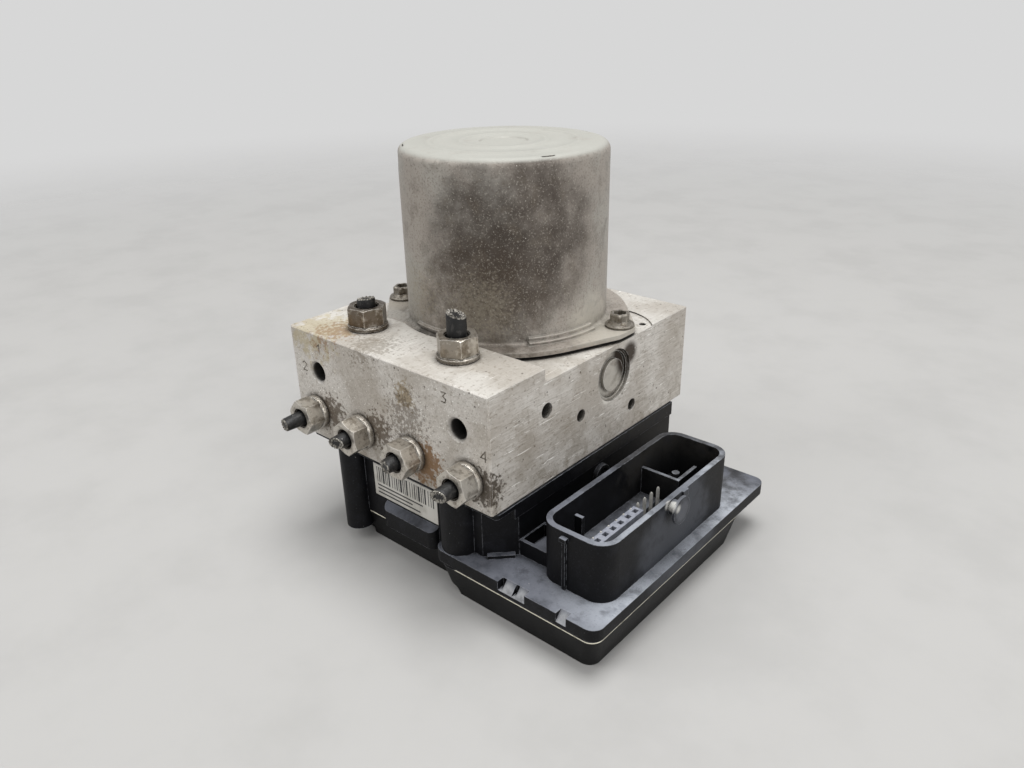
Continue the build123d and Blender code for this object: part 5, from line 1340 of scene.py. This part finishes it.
@dataclass
class PortNuts:
    """Union nuts with round collar and bevelled hexagon, copied to their ports."""

    copies: CopyTree
    wheel_x: tuple[float, ...] = (-36.0, -11.8, 12.4, 37.6)
    wheel_z: float = 10.0
    wheel_turns: tuple[float, ...] = (8.0, 21.0, 2.0, 14.0)
    port_face: float = -54.9
    master_places: tuple[tuple[float, float], ...] = ((-23.5, -39.0), (19.6, -39.0))
    master_turns: tuple[float, ...] = (10.0, 24.0)
    block_top: float = 40.0

    @staticmethod
    def nut(name: str, flats: float, collar: float, collar_length: float, hexagon: float,
            mouth: float) -> bpy.types.Object:
        """Draw one nut standing on the origin.

        Args:
            name: Name of the piece.
            flats: Width across flats.
            collar: Radius of the round collar.
            collar_length: Length of the collar.
            hexagon: Length of the hexagon.
            mouth: Radius of the hole that the pipe leaves through.

        Returns:
            The nut, drawn about the world's origin.
        """
        half, steps = flats / 2, 72
        top = collar_length + hexagon
        slope = math.tan(math.radians(28))

        def side(step: int) -> float:
            """Distance of the hexagon's side at a step round the axis."""
            return half / math.cos(math.radians((360 * step / steps) % 60 - 30))

        def ring(height: Callable[[float], float], reach: Callable[[float], float]) -> list[Point]:
            """Corners of one ring of the nut."""
            points = []
            for step in range(steps):
                dx, dy = polar(reach(side(step)), 360 * step / steps)
                points.append((dx, dy, height(side(step))))
            return points

        sketch = Sketch()
        bevel = half + 0.15
        rings = [
            ring(lambda s: 0.0, lambda s: collar - 0.3),
            ring(lambda s: 0.3, lambda s: collar),
            ring(lambda s: collar_length - 0.3, lambda s: collar),
            ring(lambda s: collar_length, lambda s: min(collar - 0.2, half + 0.4)),
            ring(lambda s: collar_length + max(0.0, s - bevel) * slope, lambda s: s),
            ring(lambda s: top - max(0.0, s - bevel) * slope, lambda s: s),
            ring(lambda s: top, lambda s: min(s, bevel)),
            ring(lambda s: top, lambda s: mouth + 0.5),
            ring(lambda s: top - 0.5, lambda s: mouth),
            ring(lambda s: top - 3.0, lambda s: mouth),
        ]
        sketch.stack(rings)
        return about_origin(sketch.object(name, smooth=30))

    def build(self) -> None:
        """Build and dress both sets of nuts."""
        wheel = self.nut("wheel_nut_master", 11.0, 6.1, 2.0, 6.0, 3.2)
        places = [((x, self.port_face, self.wheel_z), (90.0, 0.0, 0.0)) for x in self.wheel_x]
        places = [(place, (90.0, turn, 0.0)) for (place, _), turn in zip(places, self.wheel_turns)]
        nuts = self.copies.grow("wheel_port_nut_skins", wheel, places, NUT_FINISH)
        dress(nuts, NUT_FINISH, stands_for=["wheel_port_nuts"])
        master = self.nut("master_nut_master", 12.0, 6.9, 1.7, 6.3, 3.8)
        places = [((x, y, self.block_top), (0.0, 0.0, turn))
                  for (x, y), turn in zip(self.master_places, self.master_turns)]
        nuts = self.copies.grow("master_port_nut_skins", master, places, NUT_FINISH)
        dress(nuts, NUT_FINISH, stands_for=["master_port_nuts"])


@dataclass
class PipeStubs:
    """Short ends of the brake pipes, cut off with pinching cutters."""

    wheel_x: tuple[float, ...] = (-36.0, -11.8, 12.4, 37.6)
    wheel_z: float = 10.0
    wheel_start: float = -59.0
    wheel_mouth: float = -62.9
    wheel_lengths: tuple[float, ...] = (6.75, 3.75, 3.75, 5.25)
    wheel_cuts: tuple[float, ...] = (14.0, -16.0, 15.0, -12.0)
    wheel_radius: float = 2.6
    master_places: tuple[tuple[float, float], ...] = ((-23.5, -39.0), (19.6, -39.0))
    master_start: float = 44.0
    master_mouth: float = 48.0
    master_lengths: tuple[float, ...] = (2.5, 6.6)
    master_cuts: tuple[float, ...] = (12.0, -10.0)
    master_radius: float = 3.3

    @staticmethod
    def stub(sleeve: Sketch, cut_end: Sketch, place: Callable[[float, float, float], Point], radius: float,
             start: float, end: float, cut: float) -> None:
        """Draw one stub with a pinched, slanting end and a squeezed bore.

        Args:
            sleeve: The mesh of the pipes.
            cut_end: The mesh of their bright sheared ends.
            place: Turns (across, up, along) into a place.
            radius: Radius of the pipe.
            start: Place along the axis where it starts, inside the nut.
            end: Place along the axis where it is cut.
            cut: Slant of the cut in degrees.
        """
        steps = 40
        slant = math.tan(math.radians(cut))
        length = end - start

        def ring(reach: float, along: float, pinch: float, slanted: float, torn: float = 0.0) -> list[Point]:
            """Corners of one ring, pinched to an oval and torn along its edge."""
            points = []
            for step in range(steps):
                dx, dy = polar(reach, 360 * step / steps)
                across, up = dx * (1 + 0.12 * pinch), dy * (1 - 0.25 * pinch)
                tear = torn * (math.sin(step * 1.9 + start) + math.sin(step * 3.7 + 2 * end))
                points.append(place(across, up, along + slanted * slant * across + tear))
            return points

        rings = [ring(radius, start + share * length, max(0.0, share - 0.45) / 0.55 * 0.8,
                      max(0.0, share - 0.6) / 0.4)
                 for share in (0.0, 0.3, 0.5, 0.7, 0.85, 0.95)]
        sleeve.stack([*rings, ring(radius, end - 0.35, 0.85, 1.0), ring(radius - 0.4, end - 0.35, 0.85, 1.0)])
        bore = radius * 0.42
        cut_end.stack([
            ring(bore, end - 1.6, 1.0, 1.0),
            ring(radius - 0.4, end - 0.5, 0.9, 1.0),
            ring(radius, end - 0.35, 0.85, 1.0, 0.08),
            ring(radius - 0.25, end, 0.9, 1.0, 0.14),
            ring((radius + bore) / 2, end - 0.25, 1.1, 1.0, 0.16),
            ring(bore, end - 0.45, 1.6, 1.0, 0.12),
            ring(bore * 0.8, end - 1.4, 1.6, 1.0),
        ])

    def build(self) -> None:
        """Build and dress the six stubs."""
        sleeves, ends = Sketch(), Sketch()
        for x, length, cut in zip(self.wheel_x, self.wheel_lengths, self.wheel_cuts):
            self.stub(sleeves, ends, lambda across, up, along, x=x: (x + across, -along, self.wheel_z + up),
                      self.wheel_radius, -self.wheel_start, -self.wheel_mouth + length, cut)
        self.finish("wheel_pipe", sleeves, ends, "wheel_pipe_stubs")
        sleeves, ends = Sketch(), Sketch()
        for (x, y), length, cut in zip(self.master_places, self.master_lengths, self.master_cuts):
            self.stub(sleeves, ends, lambda across, up, along, x=x, y=y: (x + across, y + up, along),
                      self.master_radius, self.master_start, self.master_mouth + length, cut)
        self.finish("master_pipe", sleeves, ends, "master_pipe_stubs")

    @staticmethod
    def finish(name: str, sleeves: Sketch, ends: Sketch, node: str) -> None:
        """Dress the pipes of one kind and their cut ends.

        Args:
            name: Start of the pieces' names.
            sleeves: Mesh of the pipes.
            ends: Mesh of the cut ends.
            node: The CAD node that they stand for.
        """
        dress(sleeves.object(name + "_skins", smooth=45), PIPE_COATED, stands_for=[node])
        dress(ends.object(name + "_cuts", smooth=45), PIPE_CUT)


@dataclass
class Connector:
    """Pins of the wiring socket."""

    grid: GridTree
    tall_rows: tuple[float, ...] = (69.0,)
    low_rows: tuple[float, ...] = (73.0, 77.0)
    row_pitch: float = 4.0
    count: int = 11
    pitch: float = 4.15
    back: float = 3.8
    width: float = 0.8
    foot: float = -27.0
    tall_tip: float = -9.0
    low_tip: float = -12.4
    comb_top: float = -9.3
    comb_foot: float = -17.0
    comb_ends: tuple[float, float] = (-35.6, -10.6)
    comb_rails: tuple[tuple[float, float], ...] = ((68.7, 69.9), (71.5, 72.6))
    comb_pockets: tuple[int, int] = (4, 9)
    pocket: float = 1.9

    def build(self) -> None:
        """Build and dress the pins and their comb."""
        tall = self.pins("socket_pins_tall", self.tall_rows, self.tall_tip)
        dress(tall, PIN_FINISH, stands_for=["connector_pins"])
        dress(self.pins("socket_pins_low", self.low_rows, self.low_tip), PIN_FINISH)
        self.comb()

    def pins(self, name: str, rows: Sequence[float], tip: float) -> bpy.types.Object:
        """Grow the pins of rows of one height.

        Args:
            name: Name of the piece.
            rows: Place of each row.
            tip: Height of the pins' tips.

        Returns:
            The pins as one mesh.
        """
        half = self.width / 2
        sketch = Sketch()
        levels = ((half, self.foot), (half, tip - 0.9), (half * 0.8, tip - 0.35), (half * 0.4, tip))
        sketch.stack([[(-r, -r * 1.2, z), (r, -r * 1.2, z), (r, r * 1.2, z), (-r, r * 1.2, z)] for r, z in levels])
        pin = about_origin(sketch.object(name, smooth=60))
        middle_y = self.back - self.pitch * (self.count - 1) / 2
        middle = row(sum(rows) / len(rows), middle_y, 0)
        return self.grid.grow(pin, len(rows), self.count, self.row_pitch, self.pitch, middle, PIN_FINISH)

    def comb(self) -> None:
        """Build and dress the comb that guides the front pins of the inner rows."""
        sketch = Sketch()
        front, back = self.comb_ends
        for left, right in self.comb_rails:
            self.slab(sketch, left, right, front, back)
        inner, outer = self.comb_rails[0][1] - 0.2, self.comb_rails[1][0] + 0.2
        first, last = self.comb_pockets
        edges = [back]
        for index in range(first, last + 1):
            middle = self.back - self.pitch * index
            edges += [middle + self.pocket / 2, middle - self.pocket / 2]
        edges.append(front)
        for start, end in zip(edges[0::2], edges[1::2]):
            self.slab(sketch, inner, outer, end, start)
        dress(sketch.object("socket_pin_comb", soften=0.12, smooth=30), COMB_FINISH)

    def slab(self, sketch: Sketch, left: float, right: float, front: float, back: float) -> None:
        """Draw one bar of the comb."""
        outline = [(left, front), (right, front), (right, back), (left, back)]
        sketch.prism(outline, self.comb_foot, self.comb_top)


@dataclass(frozen=True)
class SpringPlace:
    """One coil spring, from its fixed end to the end that a piston pushes."""

    node: str
    joint: str
    fixed: Point
    loose: Point
    radius: float
    wire: float
    turns: int
    stroke: float


@dataclass
class ReturnSprings:
    """Coil springs behind the pump pistons and under the accumulator pistons."""

    springs: tuple[SpringPlace, ...] = (
        SpringPlace("pump_spring_left", "pump_piston_left_stroke", (-36.05, 8.2, 24.7), (-29.8, 8.2, 24.7),
                    4.2, 0.7, 4, 2.0),
        SpringPlace("pump_spring_right", "pump_piston_right_stroke", (33.85, 8.2, 24.7), (27.6, 8.2, 24.7),
                    4.2, 0.7, 4, 2.0),
        SpringPlace("accumulator_spring_left", "accumulator_piston_left_stroke", (-22.0, 36.0, 3.05),
                    (-22.0, 36.0, 19.95), 6.5, 1.0, 5, 8.0),
        SpringPlace("accumulator_spring_right", "accumulator_piston_right_stroke", (22.0, 36.0, 3.05),
                    (22.0, 36.0, 19.95), 6.5, 1.0, 5, 8.0),
    )
    turn_steps: int = 32
    wire_steps: int = 10

    def build(self) -> None:
        """Build each spring."""
        for spring in self.springs:
            start, end = Vector(spring.fixed), Vector(spring.loose)
            length = (end - start).length
            axis = (end - start).normalized()
            turn = axis.to_track_quat("Z", "Y").to_matrix().to_4x4()
            sketch = Sketch()
            sketch.stack(self.coil(spring, length))
            bmesh.ops.transform(sketch.mesh, matrix=Matrix.Translation(start) @ turn, verts=sketch.mesh.verts)
            made = dress(sketch.object(spring.node + "_coil", smooth=60), SPRING_STEEL,
                         stands_for=[spring.node])
            tuple(row(*spring.fixed))
            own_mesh(made)

    def coil(self, spring: SpringPlace, length: float) -> list[list[Point]]:
        """Lay the wire's rings along the coil, with a closed turn at each end.

        Args:
            spring: The spring's sizes.
            length: Its length at rest.

        Returns:
            The rings, standing on the origin along the upright axis.
        """
        climb = length - spring.wire
        steps = spring.turns * self.turn_steps
        open_pitch = (climb - 2 * spring.wire) / (spring.turns - 2)
        rings = []
        for step in range(steps + 1):
            turn = step / self.turn_steps
            height = spring.wire / 2 + spring.wire * min(turn, 1.0)
            height += open_pitch * min(max(turn - 1.0, 0.0), spring.turns - 2.0)
            height += spring.wire * max(turn - spring.turns + 1.0, 0.0)
            outward = Vector((*polar(1.0, 360 * turn), 0.0))
            ring = []
            for corner in range(self.wire_steps):
                across, up = polar(spring.wire / 2, 360 * corner / self.wire_steps)
                ring.append(tuple(outward * (spring.radius + across) + Vector((0, 0, height + up))))
            rings.append(ring)
        return rings


@dataclass
class LabelPrint:
    """Generic bars and rules on the label, with no words."""

    left: float = -12.0
    right: float = 16.6
    front: float = -50.72
    top: float = -5.9
    bar_height: float = 6.0
    widths: tuple[float, ...] = (0.3, 0.5, 0.3, 0.9, 0.4, 0.3, 0.7, 0.3)
    rules: tuple[tuple[float, float, float], ...] = ((-13.4, 0.55, 0.8), (-14.9, 0.55, 0.62), (-16.4, 0.55, 0.75))

    def build(self) -> None:
        """Build and dress the bars."""
        sketch = Sketch()
        x, index = self.left, 0
        while x < self.right:
            width = self.widths[index % len(self.widths)]
            self.patch(sketch, x, min(x + width, self.right), self.top - self.bar_height, self.top)
            x += width + self.widths[(index * 3 + 1) % len(self.widths)] + 0.2
            index += 1
        for level, height, share in self.rules:
            self.patch(sketch, self.left, self.left + share * (self.right - self.left), level, level + height)
        bars = sketch.object("label_bars", smooth=30)
        dress(bars, INK_FINISH)

    def patch(self, sketch: Sketch, x0: float, x1: float, z0: float, z1: float) -> None:
        """Draw one thin raised bar."""
        sketch.prism([(x0, self.front), (x1, self.front), (x1, self.front + 0.1), (x0, self.front + 0.1)], z0, z1)


@dataclass
class Studio:
    """Floor, backdrop, lights and camera."""

    camera_place: Point = (191.935, -208.783, 142.995)
    right: Point = (0.75539, 0.65497, -0.02001)
    forward: Point = (-0.59997, 0.67903, -0.42303)
    focal_pixels: float = 835.4
    width_pixels: float = 1024.0
    floor_colour: Colour = (176, 175, 173)
    floor_radius: float = 4.0
    fade: tuple[float, float] = (0.35, 1.1)
    room_light: float = 0.46
    room_shown: float = 0.68

    def build(self) -> None:
        """Build the whole setting."""
        self.floor()
        self.lights()
        self.camera()

    def floor(self) -> None:
        """Lay a wide round sheet whose outer part fades into the pale room."""
        data = bpy.data.meshes.new("studio_floor")
        mesh = bmesh.new()
        bmesh.ops.create_circle(mesh, cap_ends=True, segments=96, radius=self.floor_radius)
        mesh.to_mesh(data)
        mesh.free()
        floor = bpy.data.objects.new("studio_floor", data)
        bpy.context.scene.collection.objects.link(floor)
        finish = Finish("studio_paper", base=self.floor_colour, roughness=0.85, layers=(
            Layer(Effect.BLOTCH, (164, 163, 161), 0.5, size=60, low=0.4, high=0.7),))
        material = SHOP.material(finish)
        graph = Graph(material.node_tree)
        where = graph.node("ShaderNodeTexCoord").outputs["Object"]
        away = graph.vector("LENGTH", where).outputs["Value"]
        alpha = graph.window(away, self.fade[1], self.fade[0])
        graph.feed(material.node_tree.nodes["Principled BSDF"].inputs["Alpha"], alpha)
        data.materials.append(material)

    def lights(self) -> None:
        """Hang the soft lamps and set the even light of the room."""
        for name, place, size, power in (
            ("key_lamp", (-0.55, -0.75, 0.95), 0.7, 4.0),
            ("fill_lamp", (1.0, -0.3, 0.6), 0.9, 5.0),
            ("top_lamp", (0.05, 0.2, 1.6), 0.95, 21.0),
        ):
            data = bpy.data.lights.new(name, "AREA")
            data.energy = power
            data.shape = "DISK"
            data.size = size
            lamp = bpy.data.objects.new(name, data)
            lamp.location = place
            lamp.rotation_mode = "QUATERNION"
            lamp.rotation_quaternion = (Vector((0, 0, 0.06)) - Vector(place)).to_track_quat("-Z", "Y")
            bpy.context.scene.collection.objects.link(lamp)
        self.room()

    def room(self) -> None:
        """Light evenly from all sides, and show a pale room behind the floor."""
        world = bpy.data.worlds.new("studio_room")
        world.use_nodes = True
        graph = Graph(world.node_tree)
        sky = world.node_tree.nodes["Background"]
        rays = graph.node("ShaderNodeLightPath").outputs
        shown = graph.maths("MAXIMUM", rays["Is Camera Ray"], rays["Is Transmission Ray"])
        sky.inputs["Color"].default_value = (1.0, 1.0, 1.0, 1.0)
        graph.feed(sky.inputs["Strength"], graph.between(shown, self.room_light, self.room_shown))
        bpy.context.scene.world = world

    def camera(self) -> None:
        """Put the camera where the part is seen from."""
        data = bpy.data.cameras.new("camera")
        data.sensor_width = 36.0
        data.lens = data.sensor_width * self.focal_pixels / self.width_pixels
        data.clip_start = 0.01
        camera = bpy.data.objects.new("camera", data)
        forward = Vector(self.forward).normalized()
        right = (Vector(self.right) - forward * forward.dot(Vector(self.right))).normalized()
        up = right.cross(forward)
        turn = Matrix((right, up, -forward)).transposed()
        camera.matrix_world = Matrix.Translation(row(*self.camera_place)) @ turn.to_4x4()
        bpy.context.scene.collection.objects.link(camera)
        bpy.context.scene.camera = camera


def dress_nodes() -> None:
    """Give every carried-over CAD node its finish."""
    for name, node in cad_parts.items():
        finish = NODE_FINISHES.get(name, PLUNGER_FINISH)
        node.data.materials.clear()
        node.data.materials.append(SHOP.material(finish))


def main() -> None:
    """Build the looks of the module, piece by piece."""
    logging.basicConfig(level=logging.INFO, format="%(message)s")
    bpy.context.scene.view_settings.view_transform = "Standard"
    dress_nodes()
    copies = CopyTree()
    Studio().build()
    MotorCan().build()
    MotorScrews().build()
    DrillingBalls().build()
    PortNumbers().build()
    PortNuts(copies).build()
    PipeStubs().build()
    Connector(GridTree()).build()
    ReturnSprings().build()
    LabelPrint().build()


if __name__ == "__main__":
    main()
